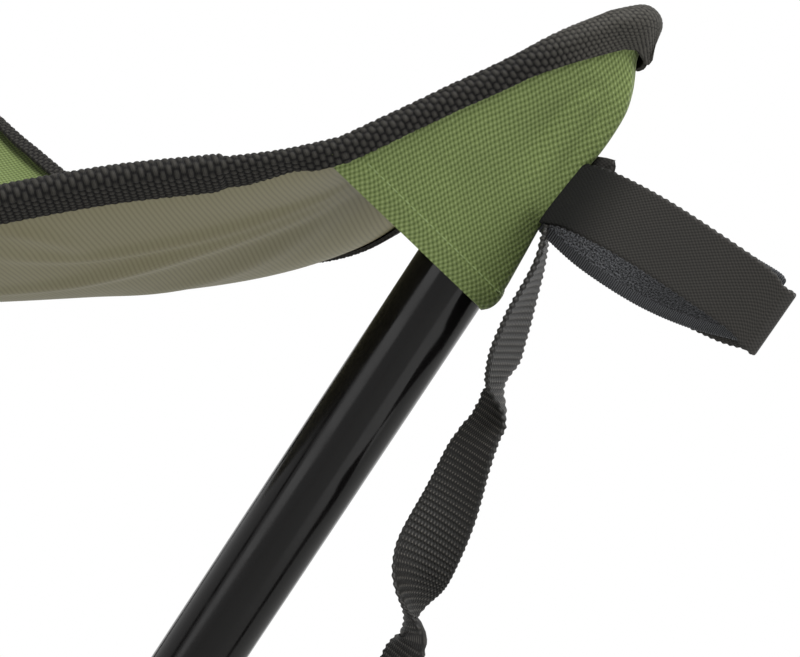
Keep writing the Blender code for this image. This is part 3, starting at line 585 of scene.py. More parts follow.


# Oxford polyester cloth, dyed green: matt threads, with painted shade in the dark gaps between them and a
# painted highlight where they stand up.
oxford, tree, shader = new_material("green_oxford_cloth", "#6C7A48", 0.72, Sheen_Weight=0.12,
                                    Sheen_Roughness=0.4, Specular_IOR_Level=0.25)
place = add(tree, "ShaderNodeUVMap", uv_map="UVMap").outputs[0]
OXFORD_WARP_MM = 0.85
OXFORD_WEFT_MM = 1.08
OXFORD_WANDER_MM = 0.8
height = weave(tree, place, OXFORD_WARP_MM, OXFORD_WEFT_MM, OXFORD_WANDER_MM, float_length=1.0)
# The colour follows the weave's height: painted shade in the gaps, painted highlight on the raised threads.
hollow = ranged(tree, height, -0.9, -0.2, curve="SMOOTHSTEP")
crest = ranged(tree, height, 0.25, 0.95, curve="SMOOTHSTEP")
tint = tinted(tree, crest, tinted(tree, hollow, "#35431E", "#697844"), "#93A26D")
fade = ranged(tree, noise(tree, place, 35.0, 4.0), 0.3, 0.7, 0.92, 1.08)
tint = add(tree, "ShaderNodeVectorMath", {0: tint, "Scale": fade}, operation="SCALE")
tree.links.new(tint.outputs[0], shader.inputs["Base Color"])
bumped(tree, shader, height, 0.7, 0.00016)

# The cloth's coated back: taupe, with the weave's ribs showing through, drawn coarser than they are; their
# tops are painted lighter and the grooves between them darker, as painted light and shade.
backing, tree, shader = new_material("taupe_cloth_coating", "#726D59", 0.55, Specular_IOR_Level=0.3)
place = add(tree, "ShaderNodeUVMap", uv_map="UVMap").outputs[0]
RIB_MM = 1.35
UNCROSSED_MM = 10000.0
height = maths(tree, "ABSOLUTE", weave(tree, place, RIB_MM, UNCROSSED_MM, wander_mm=0.3))
# The colour follows the ribs' height: painted highlight on their tops, painted shade between them.
tree.links.new(tinted(tree, height, "#676349", "#7B765A"), shader.inputs["Base Color"])
bumped(tree, shader, height, 0.35, 0.0001)

SEAT_GRAIN = math.radians(15)
SEAT_STEP = 0.0016
SEAT_RINGS = 84


def bends(made):
    """Bakes a piece's placing into its mesh."""
    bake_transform(made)


for leg, angle in CORNERS.items():
    points, _ = rim(angle, SEAT_STEP)
    shares = np.linspace(0, 1, SEAT_RINGS)
    plan = points[:, None] * shares[None, :, None]
    middle = seat_points(plan)
    middle[..., 2] += seat_folds(plan) * np.clip((1 - shares) / CALM_SHARE, 0, 1)
    thickness = np.array([0, 0, CLOTH / 2])
    rows = np.concatenate([middle + thickness, (middle - thickness)[:, ::-1]], 1)
    uv = np.concatenate([plan, plan[:, ::-1]], 1) @ spin(-SEAT_GRAIN)
    slots = np.repeat([0, 1], SEAT_RINGS)
    seat = skin("seat_sector_" + leg, rows, [oxford, backing], uv, sharp=80, slots=slots)
    bends(seat)
    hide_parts("seat_panel")

# Corner pockets.
# Under each corner a folded piece of the green cloth takes the tube's end. Its upper edges go into the tape.
# It is folded to a keel below and hemmed at its mouth, with one row of pale green stitches.
TAPE_WIDTH = 0.0100
TAPE_WALL = 0.0012
HALF_PLACES = (0.0, 0.007, 0.015, 0.040, 0.080, 0.105)
HALF_THICKNESSES = (0.0046, 0.0043, 0.0036, 0.0031, 0.0028, 0.0020)
LIFT_PLACES = (0.0, 0.006, 0.014, 0.060, 0.090, 0.110, 0.150)
LIFTS = (-0.0024, -0.0013, 0.0004, 0.0012, 0.0, -0.0006, 0.0)
INSET_PLACES = (0.0, 0.008, 0.020)
INSETS = (0.0020, 0.0014, 0.0006)
POCKET_CLOTH = 0.0008
POCKET_MOUTH = 0.0985
POCKET_STATIONS = 110
POCKET_ACROSS = 48
KEEL_CREASE = 0.0022
KEEL_LINE = [
    (0.0123, 0.0652), (0.0143, 0.0628), (0.0148, 0.0590), (0.0139, 0.0470), (0.0132, 0.0370),
    (0.0141, 0.0260), (0.0155, 0.0155), (0.0160, 0.0098), (0.0160, 0.0040), (0.0156, -0.0005),
    (0.0146, -0.0040), (0.0132, -0.0072), (0.0114, -0.0102), (0.0094, -0.0130), (0.0072, -0.0165),
    (0.0050, -0.0215),
]
KEEL_NARROWING = 0.3
KEEL_END_SHARE = 1.002
POCKET_END_SHARE = 0.985
TUBE_SLACK = 0.0009
END_START = 0.002
END_ROUNDING = 0.014
FIRST_DROOP = math.radians(60)
HEM_SHARE = 0.085
HEM_EDGE = (HEM_SHARE - 0.005, HEM_SHARE + 0.008)
HEM_THICKER = 0.0004
HEM_GROOVE = 0.00025
HEM_GROOVE_SHARE = 0.007
DIMPLE = 0.0020
DIMPLE_PLACE = (0.56, 0.62)
DIMPLE_SPREAD = (0.17, 0.20)
POCKET_GRAIN = np.radians((-9.1, 102.6))
ARC_STEPS = 61
TOUCH = 1e-7


def unit(vectors):
    """Vectors brought to length one."""
    return vectors / np.maximum(np.linalg.norm(vectors, axis=-1, keepdims=True), 1e-12)


def edge_frame(points, outward):
    """Points of the seat's edge with the directions into the cloth and up from it."""
    edge = seat_points(points)
    inward = unit(seat_points(points - outward * TAPE_WIDTH) - edge)
    upward = unit(np.cross(np.gradient(edge, axis=0), inward))
    return edge, inward, upward * np.sign(upward[:, 2:])


def run_of(points):
    """Distances along a line of points, or along each line of a stack."""
    steps = np.linalg.norm(np.diff(points, axis=-2), axis=-1)
    return np.concatenate([0 * steps[..., :1], np.cumsum(steps, -1)], -1)


def taut(top, side, tube, keel, crease):
    """A cloth pulled from its upper edge round the tube to the keel's crease, in section across the tube."""
    turn = np.linspace(0, math.pi, ARC_STEPS)
    bend = turn[:ARC_STEPS // 2 + 1]
    posts = np.concatenate([np.stack([tube * np.cos(turn), -tube * np.sin(turn)], -1),
                            np.stack([keel + crease * (np.cos(bend) - 1), -crease * np.sin(bend)], -1)])
    goal = np.array([keel, 0.0])
    line = [np.array([top[0], -abs(top[1])])]
    while np.linalg.norm(line[-1] - goal) > TOUCH and len(line) < len(posts):
        ahead = goal - line[-1]
        spoke = posts - line[-1]
        angle = np.arctan2(ahead[0] * spoke[:, 1] - ahead[1] * spoke[:, 0], spoke @ ahead)
        angle[np.linalg.norm(spoke, axis=1) < TOUCH] = math.inf
        line.append(posts[np.argmin(angle)])
    run = run_of(np.array(line))
    even = np.linspace(0, run[-1], POCKET_ACROSS)
    even = np.stack([np.interp(even, run, np.array(line)[:, axis]) for axis in (0, 1)], -1)
    return even * (1, -side)


back_to_leg = leg_a.inverted()
edge, inward, upward = edge_frame(*rim(CORNERS["a"], 0.0005))
from_tip = run_of(edge) - run_of(edge)[-1] / 2
keel_line = smooth(KEEL_LINE, 12)
keel_run = run_of(keel_line)


def pocket_walls(share):
    """The two walls of a pocket at a station, in the leg's frame, with how far each hangs from the cloth."""
    keel = [np.interp(share * keel_run[-1], keel_run, keel_line[:, axis]) for axis in (0, 1)]
    past = max(0.0, (END_START - keel[1]) / END_ROUNDING)
    tube = (TUBE_RADIUS + TUBE_SLACK) * math.sqrt(max(0.0, 1 - past ** 2))
    crease = min(KEEL_CREASE, KEEL_NARROWING * POCKET_MOUTH * (KEEL_END_SHARE - share))
    walls, droops = [], []
    for side in (-1, 1):
        spot = side * POCKET_MOUTH * (1 - share)
        here, into, over = (np.array([np.interp(spot, from_tip, grid[:, axis]) for axis in range(3)])
                            for grid in (edge, inward, upward))
        here = here + over * np.interp(abs(spot), LIFT_PLACES, LIFTS)
        here = here + into * np.interp(abs(spot), INSET_PLACES, INSETS)
        reach = np.interp(abs(spot), HALF_PLACES, HALF_THICKNESSES) - TAPE_WALL
        droop = FIRST_DROOP
        for _ in range(3):
            under = -math.sin(droop) * into - math.cos(droop) * over
            top = placed(here + reach * under, back_to_leg)
            flat = taut(top, side, tube, keel[0], crease)
            drop = np.linspace(top[2], TUBE_END - keel[1], POCKET_ACROSS)
            wall = np.concatenate([flat, drop[:, None]], 1)
            heading = np.array(leg_a.to_3x3()) @ (wall[POCKET_ACROSS // 5] - wall[0])
            droop = math.atan2(-heading @ over, heading @ into)
        walls.append(wall)
        droops.append(droop)
    return walls, droops


def facing(surface):
    """Unit normals of a pocket's grid of points, out of the pocket."""
    normal = unit(np.cross(np.gradient(surface, axis=0), np.gradient(surface, axis=1)))
    return normal * np.sign(normal[POCKET_STATIONS // 2, POCKET_ACROSS, 0])


shares = np.linspace(0, POCKET_END_SHARE, POCKET_STATIONS)
surface, droops = [], []
for share in shares:
    walls, droop = pocket_walls(share)
    surface.append(np.concatenate([walls[0], walls[1][-2::-1]]))
    droops.append(droop)
surface = np.array(surface)
droops = np.array(droops)
along = (shares[:, None] - DIMPLE_PLACE[0]) / DIMPLE_SPREAD[0]
height = 1 - np.abs(np.linspace(-1, 1, 2 * POCKET_ACROSS - 1))
height = (height - DIMPLE_PLACE[1]) / DIMPLE_SPREAD[1]
surface = surface - facing(surface) * (DIMPLE * np.exp(-along ** 2 - height ** 2))[..., None]
past = np.clip((surface[..., 2] - TUBE_END + END_START) / END_ROUNDING, 0, 1)
bare = (TUBE_RADIUS + POCKET_CLOTH) * np.sqrt(1 - past ** 2)
surface[..., :2] *= np.maximum(1, bare / np.linalg.norm(surface[..., :2], axis=-1))[..., None]
hem = HEM_THICKER * (1 - eased(shares, *HEM_EDGE))
hem -= HEM_GROOVE * np.exp(-((shares - HEM_SHARE) / HEM_GROOVE_SHARE) ** 2)
normal = facing(surface)
outside = surface + normal * (POCKET_CLOTH / 2 + hem[:, None, None])
inside = surface - normal * POCKET_CLOTH / 2
shell = np.concatenate([outside, inside[:, ::-1]], 1)
around = run_of(surface[..., :2])
around -= around[:, [POCKET_ACROSS - 1]]
flat = np.stack([around, surface[..., 2]], -1)
flat = flat @ np.linalg.inv(np.stack([np.cos(POCKET_GRAIN), np.sin(POCKET_GRAIN)], -1))
uv = np.concatenate([flat, flat[:, ::-1]], 1)

# Polyester sewing thread: pale green, with a slight sheen.
thread, _, _ = new_material("green_sewing_thread", "#80925A", 0.5, Sheen_Weight=0.2)

# The stitches: a short bead of thread laid at every pitch of a line, each a little different in length.
SEAM_INSET = 6
THREAD_LIFT = 0.00005
SHORTEST = 0.85
LONGEST = 1.1
stitches = bpy.data.node_groups.new("stitches", "GeometryNodeTree")
stitches.interface.new_socket("Geometry", in_out="INPUT", socket_type="NodeSocketGeometry")
STITCH_INPUTS = {"Pitch": ("NodeSocketFloat", 0.0026), "Length": ("NodeSocketFloat", 0.0022),
                 "Thickness": ("NodeSocketFloat", 0.00032), "Seed": ("NodeSocketInt", 7),
                 "Thread": ("NodeSocketMaterial", thread)}
stitch_sockets = {name: stitches.interface.new_socket(name, in_out="INPUT", socket_type=kind).identifier
                  for name, (kind, _) in STITCH_INPUTS.items()}
stitches.interface.new_socket("Geometry", in_out="OUTPUT", socket_type="NodeSocketGeometry")
given = add(stitches, "NodeGroupInput").outputs
line = add(stitches, "GeometryNodeMeshToCurve", {"Mesh": given["Geometry"]})
spots = add(stitches, "GeometryNodeCurveToPoints", {"Curve": line.outputs[0], "Length": given["Pitch"]},
            mode="LENGTH")
lie = add(stitches, "FunctionNodeAlignRotationToVector", {"Vector": spots.outputs["Tangent"]}, axis="Z")
vary = add(stitches, "FunctionNodeRandomValue", {2: SHORTEST, 3: LONGEST, "Seed": given["Seed"]},
           data_type="FLOAT")
long = maths(stitches, "MULTIPLY", given["Length"], vary.outputs[1])
size = add(stitches, "ShaderNodeCombineXYZ", {0: given["Thickness"], 1: given["Thickness"], 2: long})
bead = add(stitches, "GeometryNodeMeshUVSphere", {"Segments": 8, "Rings": 6, "Radius": 0.5})
laid = add(stitches, "GeometryNodeInstanceOnPoints", {"Points": spots.outputs[0], "Instance": bead.outputs[0],
                                                      "Rotation": lie.outputs[0], "Scale": size.outputs[0]})
made = add(stitches, "GeometryNodeRealizeInstances", {"Geometry": laid.outputs[0]})
made = add(stitches, "GeometryNodeSetMaterial", {"Geometry": made.outputs[0], "Material": given["Thread"]})
stitches.links.new(made.outputs[0], add(stitches, "NodeGroupOutput").inputs[0])


def sewn(name, points):
    """A row of stitches along a line of points, as a plain mesh."""
    row = bpy.data.objects.new(name, bpy.data.meshes.new(name))
    row.data.from_pydata(points.tolist(), [(index, index + 1) for index in range(len(points) - 1)], [])
    bpy.context.scene.collection.objects.link(row)
    sewing = row.modifiers.new("stitches", "NODES")
    sewing.node_group = stitches
    for socket, (_, value) in STITCH_INPUTS.items():
        sewing[stitch_sockets[socket]] = value
    row.data = bpy.data.meshes.new_from_object(row.evaluated_get(bpy.context.evaluated_depsgraph_get()))
    row.modifiers.clear()
    return row


hem_row = np.argmin(np.abs(shares - HEM_SHARE))
hem_line = (outside + normal * THREAD_LIFT)[hem_row, SEAM_INSET:-SEAM_INSET]
for leg in LEGS:
    pocket = skin("corner_pocket_" + leg + "_cloth", placed(shell, leg_frame(leg)), [oxford], uv, sharp=80)
    dressed(pocket, "leg_" + leg, "corner_pocket_" + leg)
    row = sewn("corner_pocket_" + leg + "_stitches", placed(hem_line, leg_frame(leg)))
    dressed(row, "leg_" + leg, "corner_pocket_" + leg)

# Edge binding.
# A coarse black woven tape folded over the cloth's edge all round and sewn down. On a pocket its lower half
# lies on the pocket's wall. Its thick cords run across it and bulge into beads, so the outline is knobbly.
TAPE_TOP_WIDTH = 0.0036
CORD_PITCH = (0.00118, 0.00178)
CORD_LEAN = 0.22
CORD_ROUND = 0.92
BEAD_PITCH = (0.0026, 0.0012)
BEAD_ROUND = 0.85
BEAD_RELIEF = 0.0008
BEAD_LEVEL = 0.8
FINE_REACH = (0.016, 0.042)
FINE_FLATTER = 0.65
FINE_GLINT = 0.55
LAP_BEADS = (0.009, 0.019)
LAP_FLAT = (0.012, 0.019)
LAP_FLATTER = 0.35
LINING_TONE = 0.9
TAPE_STEP = 0.00035
OVERLAP_START = (0.0735, 0.0760)
OVERLAP_END = (-0.030, -0.027)
OVERLAP_RISE = 0.0009
TIP_SHARE = 0.87
MOUTH_EASE = (POCKET_MOUTH - 0.003, POCKET_MOUTH + 0.008)
LAP_PLACES = (0.0, 0.006, 0.010, 0.025, 0.040, 0.074, 0.090, 0.104, 0.116)
LAP_LENGTHS = (0.0078, 0.0112, 0.0067, 0.0050, 0.0032, 0.0032, 0.0040, 0.0052, 0.0094)
FAR_LAP_PLACES = (0.006, 0.010, 0.020, 0.035)
FAR_LAP_EXTRAS = (0.0, 0.0052, 0.0056, 0.0)

# Polypropylene tape: dull black, a little brown, with painted shade in the gaps between its beads and painted
# highlight on their greyer crowns.
tape, tree, shader = new_material("black_woven_tape", "#2B2926", 0.65, Specular_IOR_Level=0.14)
place = add(tree, "ShaderNodeUVMap", uv_map="UVMap").outputs[0]
# The tone attribute brings the beads' painted shade and highlight: dark in the gaps, greyer on the crowns.
crown = add(tree, "ShaderNodeAttribute", attribute_name="tone").outputs["Fac"]
yarn = weave(tree, place, along_mm=0.22, across_mm=0.7, wander_mm=0.2)
lift = ranged(tree, maths(tree, "MULTIPLY_ADD", yarn, 0.12, crown), 0.5, 1.5)
tree.links.new(tinted(tree, lift, "#070606", "#4B4944"), shader.inputs["Base Color"])
bumped(tree, shader, yarn, 0.25, 0.0001)


def counted(longest, steps, pitches, change):
    """Distances, and how many pitches fit in each where the pitch changes from one to another."""
    scale = np.linspace(0, longest, steps)
    pitch = pitches[0] + (pitches[1] - pitches[0]) * eased(scale, *change)
    return scale, np.concatenate([[0], np.cumsum(np.diff(scale) / pitch[1:])])


bead_scale = counted(longest=0.025, steps=400, pitches=BEAD_PITCH, change=LAP_BEADS)
cord_scale = counted(longest=0.25, steps=2500, pitches=CORD_PITCH, change=FINE_REACH)


def beads(along, across):
    """Relief of the tape, from 0 to 1: cords side by side, each bulging into a row of beads."""
    along = along - CORD_LEAN * across
    count = np.sign(along) * np.interp(np.abs(along), *cord_scale)
    cord = np.round(count)
    beside = 2 * (count - cord)
    finer = 2 - eased(np.abs(along), *FINE_REACH)
    place = np.interp(across, *bead_scale) * finer + 0.5 * (cord % 2)
    within = 2 * (place - np.round(place))
    return np.sqrt(1 - CORD_ROUND * beside ** 2) * np.sqrt(1 - BEAD_ROUND * within ** 2)


def tape_places(length, across):
    """Where each point of a tape lies: along it and across it."""
    return np.stack(np.broadcast_arrays(length[:, None], across), -1)


upper = np.linspace(TAPE_TOP_WIDTH, 0, 1 + round(TAPE_TOP_WIDTH / TAPE_STEP))
lower = np.linspace(0, 1, 1 + round(TAPE_WIDTH / TAPE_STEP))
bend = np.linspace(0, 1, 22)[1:-1]
sides = shares < TIP_SHARE
droop_places = POCKET_MOUTH * np.concatenate([shares[sides] - 1, 1 - shares[sides][::-1]])
droop_angles = np.concatenate([droops[sides, 0], droops[sides, 1][::-1]])
for leg, angle in CORNERS.items():
    edge, inward, upward = edge_frame(*rim(angle, TAPE_STEP))
    length = run_of(edge)
    beyond = length - length[-1] / 2
    count = len(edge)
    mouth = eased(np.abs(beyond), *MOUTH_EASE)
    droop = (np.interp(beyond, droop_places, droop_angles) * (1 - mouth))[:, None]
    lap = np.interp(np.abs(beyond), LAP_PLACES, LAP_LENGTHS)
    lap = (lap + np.interp(beyond, FAR_LAP_PLACES, FAR_LAP_EXTRAS))[:, None]
    half = np.interp(np.abs(beyond), HALF_PLACES, HALF_THICKNESSES)[:, None]
    edge = edge + upward * np.interp(np.abs(beyond), LIFT_PLACES, LIFTS)[:, None]
    edge = edge + inward * np.interp(np.abs(beyond), INSET_PLACES, INSETS)[:, None]
    turn = math.pi / 2 - bend * (math.pi - droop)
    under = np.stack([-np.sin(droop), -np.cos(droop)], -1)
    along = np.stack([np.cos(droop), -np.sin(droop)], -1)
    normal = np.concatenate([np.broadcast_to([0.0, 1.0], (count, len(upper), 2)),
                             np.stack([-np.cos(turn), np.sin(turn)], -1),
                             np.broadcast_to(under, (count, len(lower), 2))], 1)
    flat = np.stack(np.broadcast_arrays(upper, np.zeros((count, 1))), -1)
    spine = np.concatenate([flat, np.zeros((count, len(bend), 2)), (lower * lap)[..., None] * along], 1)
    section = spine + half[..., None] * normal
    across = run_of(section)
    # The beads' relief is kept as the tone too, for painted shade in the gaps and painted highlight on the
    # crowns.
    tone = beads(beyond[:, None], across)
    fine = 1 - eased(np.abs(beyond), *FINE_REACH)[:, None]
    relief = BEAD_RELIEF * (tone - BEAD_LEVEL) * (1 - FINE_FLATTER * fine)
    relief = relief * (1 - LAP_FLATTER * eased(across, *LAP_FLAT))
    # Near the tip the crowns are painted lighter still, as painted glints.
    tone = tone * (1 + FINE_GLINT * fine)
    if leg == "a":
        relief = relief + OVERLAP_RISE * (1 - eased(length, *OVERLAP_START))[:, None]
    if leg == "b":
        relief = relief + OVERLAP_RISE * eased(length - length[-1], *OVERLAP_END)[:, None]
    section = section + relief[..., None] * normal
    hollow = half[..., None] - TAPE_WALL
    lining = np.concatenate([hollow * under + lap[..., None] * along, hollow * under,
                             hollow * (0, 1), np.array([TAPE_TOP_WIDTH, 0]) + hollow * (0, 1)], 1)
    section = np.concatenate([section, lining], 1)
    tone = np.concatenate([tone, np.full((count, lining.shape[1]), LINING_TONE)], 1)
    rows = edge[:, None] + section[..., :1] * inward[:, None] + section[..., 1:] * upward[:, None]
    across = np.concatenate([across, np.repeat(across[:, -1:], lining.shape[1], 1)], 1)
    binding = skin("edge_binding_" + leg, rows, [tape], tape_places(length, across), sharp=80, tone=tone)
    bends(binding)
    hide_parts("edge_binding")

# Closure strap.
# Two tapes sewn to the pocket's keel: a satin one in front, folded round the end of a pile-faced one behind.
# They part to go round the folded legs and close with hook and loop. A cut end stands up at their root.
CLOSURE_HALF = 0.0007
FRONT_WIDTH = 0.0196
FRONT_SCALLOP = 0.00016
FRONT_SCALLOP_PITCH = 0.0022
FRONT_BORDER = (-0.0010, 0.0)
# Over this length the front tape's colour goes from painted shade at its sewn root to full painted sheen; the
# next value is the root's painted shade level.
FRONT_SHEEN_RISE = (0.006, 0.024)
ROOT_SHADE_TONE = 0.05
FRONT_LINE = [
    (0.0132, -0.0009, 0.0268), (0.0146, -0.0010, 0.0262), (0.0227, -0.0020, 0.0229),
    (0.0412, -0.0040, 0.0191), (0.0645, -0.0030, 0.0171), (0.0745, -0.0006, 0.0172),
    (0.0788, 0.0010, 0.0188),
]
FOLD_RADIUS = 0.0026
RETURN_LINE = [(0.0788, 0.0062, 0.0198), (0.0710, 0.0082, 0.0232), (0.0610, 0.0108, 0.0262)]
BACK_LINE = [
    (0.0130, 0.0009, 0.0272, 0.0230), (0.0170, 0.0012, 0.0278, 0.0233), (0.0280, 0.0060, 0.0279, 0.0265),
    (0.0440, 0.0108, 0.0265, 0.0279), (0.0600, 0.0088, 0.0232, 0.0256), (0.0740, 0.0050, 0.0188, 0.0218),
    (0.0772, 0.0042, 0.0183, 0.0200),
]
BACK_STEP = 0.0011
BACK_BORDER = (-0.0012, -0.0002)
# Over this length from the root the back tape's specks grow darker, by the next value's share.
BACK_DARKENING = (0.008, 0.040)
ALONG_DARKER = 0.65
SELVAGE = 0.0033
SELVAGE_EASE = 0.0004
SELVAGE_PITCH = 0.00095
SELVAGE_RELIEF = 0.00009
STUB_LINE = [(0.0132, 0.0016, 0.0170), (0.0168, 0.0020, 0.0150), (0.0206, 0.0023, 0.0130)]
STUB_UPRIGHT = unit(np.array([-0.5, 0.0, 0.86]))
STUB_WIDTH = 0.0042
STUB_FRAY = 0.0006
STUB_FRAY_WAVES = 2.2
STUB_WHOLE = 0.006
STUB_TONE = 0.8
UPRIGHT = np.array([0.0, 0.0, 1.0])


def strap(path, across, width, half, step=0.0005):
    """Rows round a flat strap along a path: over one face, round its edge and back over the other."""
    over = unit(np.cross(unit(np.gradient(path, axis=0)), across))
    face = np.linspace(-1, 1, 1 + round(float(np.max(width)) / step))
    bend = np.radians(np.linspace(-60, 60, 5))
    side = np.concatenate([face, 0 * bend + 1, face[::-1], 0 * bend - 1])
    out = np.concatenate([0 * face, np.cos(bend), 0 * face, -np.cos(bend)])
    rise = np.concatenate([0 * face + 1, -np.sin(bend), 0 * face - 1, np.sin(bend)])
    reach = side[None, :] * (np.broadcast_to(width, len(path))[:, None] / 2 - half) + out[None, :] * half
    rows = path[:, None] + reach[..., None] * across[:, None] + rise[None, :, None] * half * over[:, None]
    return rows, over, reach, rise, run_of(path)


def scalloped(rows, reach, inset, length, relief, pitch, border):
    """Small waves put on the two edges of an upright strap's rows."""
    wave = relief * np.sin(2 * math.pi * length / pitch)[:, None] * eased(-inset, *border)
    return rows + (wave * np.sign(reach))[..., None] * UPRIGHT


def evenly(points, count):
    """A line of points set out again at even steps."""
    run = run_of(points[:, :3])
    return np.stack([np.interp(np.linspace(0, run[-1], count), run, column) for column in points.T], -1)


def up_tube(points):
    """Leg frame points from ones that give how far they lie below the tube's end."""
    points = np.array(points, float)
    points[:, 2] = TUBE_END - points[:, 2]
    return points


# Satin-backed nylon tape: near-black, with fine cross ribs whose tops are painted lighter, and a broad
# painted sheen in its colour that gives way to painted shade at the sewn end.
# The ribs are drawn a little coarser than they are.
satin, tree, shader = new_material("black_satin_tape", "#232221", 0.5, Specular_IOR_Level=0.13)
place = add(tree, "ShaderNodeUVMap", uv_map="UVMap").outputs[0]
# The tone attribute is the painted sheen, low as painted shade at the sewn root; the rib tops are painted
# lighter within it.
free = add(tree, "ShaderNodeAttribute", attribute_name="tone").outputs["Fac"]
ribs = weave(tree, place, along_mm=0.68, across_mm=0.5, wander_mm=0.2)
lift = ranged(tree, ribs, -1.4, 1.2, 0.0, free)
tree.links.new(tinted(tree, lift, "#121211", "#3E3C39"), shader.inputs["Base Color"])
bumped(tree, shader, ribs, 0.4, 0.0001)

# Brushed nylon pile: dull, speckled grey on black between two plain ribbed borders whose rib tops are painted
# a little lighter; the specks are brighter near the root and darker further along.
pile, tree, shader = new_material("black_nylon_pile", "#2A2A2A", 0.85, Specular_IOR_Level=0.2)
place = add(tree, "ShaderNodeUVMap", uv_map="UVMap").outputs[0]
# The tone attribute sets the specks' brightness: full near the root, darker further along.
speck_level = add(tree, "ShaderNodeAttribute", attribute_name="tone").outputs["Fac"]
fuzz = noise(tree, place, 2000.0, 5.0, 0.65)
speck = ranged(tree, fuzz, 0.42, 0.7, 0.0, speck_level)
ribs = maths(tree, "ABSOLUTE", weave(tree, place, along_mm=0.62, across_mm=UNCROSSED_MM, wander_mm=0.15))
inset = add(tree, "ShaderNodeSeparateXYZ", {0: place}).outputs[1]
border = ranged(tree, inset, SELVAGE, SELVAGE - SELVAGE_EASE)
# In the borders the ribs' tops are painted a little lighter.
faint = maths(tree, "MULTIPLY", ribs, 0.35)
lift = add(tree, "ShaderNodeMix", {"Factor": border, 2: speck, 3: faint}).outputs[0]
tree.links.new(tinted(tree, lift, "#1A1A1B", "#8A8C90"), shader.inputs["Base Color"])
relief = add(tree, "ShaderNodeMix", {"Factor": border, 2: fuzz, 3: ribs}).outputs[0]
bumped(tree, shader, relief, 0.8, 0.0003)

back_line = evenly(smooth(up_tube(BACK_LINE), 40), 560)
across = np.broadcast_to(UPRIGHT, (len(back_line), 3))
rows, _, reach, _, length = strap(back_line[:, :3], across, back_line[:, 3], CLOSURE_HALF, BACK_STEP)
inset = back_line[:, 3:] / 2 - np.abs(reach)
rows = scalloped(rows, reach, inset, length, SELVAGE_RELIEF, SELVAGE_PITCH, BACK_BORDER)
# Specks full near the root, darker further along.
tone = np.broadcast_to(1 - ALONG_DARKER * eased(length, *BACK_DARKENING)[:, None], inset.shape)
uv = tape_places(length, inset)
back_tape = skin("closure_back_tape_pile", placed(rows, leg_a), [pile], uv, tone=tone)
dressed(back_tape, "closure_loop", "closure_back_tape")

turn = np.linspace(-math.pi / 2, math.pi / 2, 24)[1:-1]
middle = RETURN_LINE[0][1] - FOLD_RADIUS
fold = np.stack([FRONT_LINE[-1][0] + FOLD_RADIUS * np.cos(turn), middle + FOLD_RADIUS * np.sin(turn),
                 np.linspace(FRONT_LINE[-1][2], RETURN_LINE[0][2], len(turn))], -1)
front_line = [smooth(up_tube(FRONT_LINE), 40), up_tube(fold), smooth(up_tube(RETURN_LINE), 30)]
front_line = evenly(np.concatenate(front_line), 480)
across = np.broadcast_to(UPRIGHT, front_line.shape)
rows, _, reach, _, length = strap(front_line, across, FRONT_WIDTH, CLOSURE_HALF)
inset = FRONT_WIDTH / 2 - np.abs(reach)
rows = scalloped(rows, reach, inset, length, FRONT_SCALLOP, FRONT_SCALLOP_PITCH, FRONT_BORDER)
# Painted shade at the sewn root, rising to the painted sheen along the tape.
tone = np.broadcast_to(ROOT_SHADE_TONE + (1 - ROOT_SHADE_TONE) * eased(length, *FRONT_SHEEN_RISE)[:, None], reach.shape)
uv = tape_places(length, reach)
front_tape = skin("closure_front_tape_satin", placed(rows, leg_a), [satin], uv, tone=tone)
dressed(front_tape, "closure_loop", "closure_front_tape")

stub_line = evenly(smooth(up_tube(STUB_LINE), 20), 60)
across = np.broadcast_to(STUB_UPRIGHT, stub_line.shape)
rows, _, reach, _, length = strap(stub_line, across, STUB_WIDTH, CLOSURE_HALF)
ragged = STUB_FRAY * np.sin(reach / STUB_FRAY * STUB_FRAY_WAVES)
rows[..., 0] += ragged * eased(length, STUB_WHOLE, length[-1])[:, None]
# The cut end takes most of the satin's painted sheen.
tone = np.full(reach.shape, STUB_TONE)
stub = skin("closure_root_end", placed(rows, leg_a), [satin], tape_places(length, reach), tone=tone)
dressed(stub, "closure_loop", "closure_back_tape")

# Carrying strap.
# Ribbed black webbing sewn under the closure strap; it hangs slack and twisted beside its leg.
# Its lower end is sewn to a band of the same webbing that slips over the tube above the foot.
CARRY_WIDTH = 0.018
CARRY_HALF = 0.0007
CARRY_ROUTE = [
    (0.0150, 0.0000, 0.0362, -26), (0.0166, -0.0008, 0.0386, -25), (0.0189, -0.0022, 0.0426, -23),
    (0.0210, -0.0025, 0.0498, -14), (0.0232, -0.0030, 0.0581, -6), (0.0253, -0.0030, 0.0648, 0),
    (0.0274, -0.0026, 0.0713, 0), (0.0290, -0.0002, 0.0768, -2), (0.0308, 0.0026, 0.0822, -52),
    (0.0322, 0.0012, 0.0870, -62), (0.0336, -0.0016, 0.0926, -64), (0.0353, -0.0030, 0.0990, -70),
    (0.0386, -0.0030, 0.1134, -88),
    (0.0402, -0.0025, 0.1279, -116), (0.0411, -0.0020, 0.1355, -148), (0.0432, -0.0020, 0.1418, -186),
    (0.0472, -0.0020, 0.1478, -222), (0.0510, -0.0020, 0.1550, -242), (0.0625, -0.0020, 0.2050, -250),
    (0.0680, -0.0050, 0.2800, -255), (0.0660, -0.0090, 0.3540, -260), (0.0610, -0.0070, 0.4150, -264),
    (0.0520, -0.0030, 0.4660, -267), (0.0400, 0.0000, 0.5060, -269), (0.03175, 0.0, 0.5305, -270),
    (0.02175, 0.0, 0.5372, -270), (0.01775, 0.0, 0.5380, -270), (0.01375, 0.0, 0.5380, -270),
]
CARRY_STATIONS = 1850
CARRY_STEP = 0.0009
FIBRES = 61
RIB_PITCH = 0.00185
RIB_RELIEF = 0.0002
RIB_BORDER = 0.002
BORDER_DARKER = 0.7
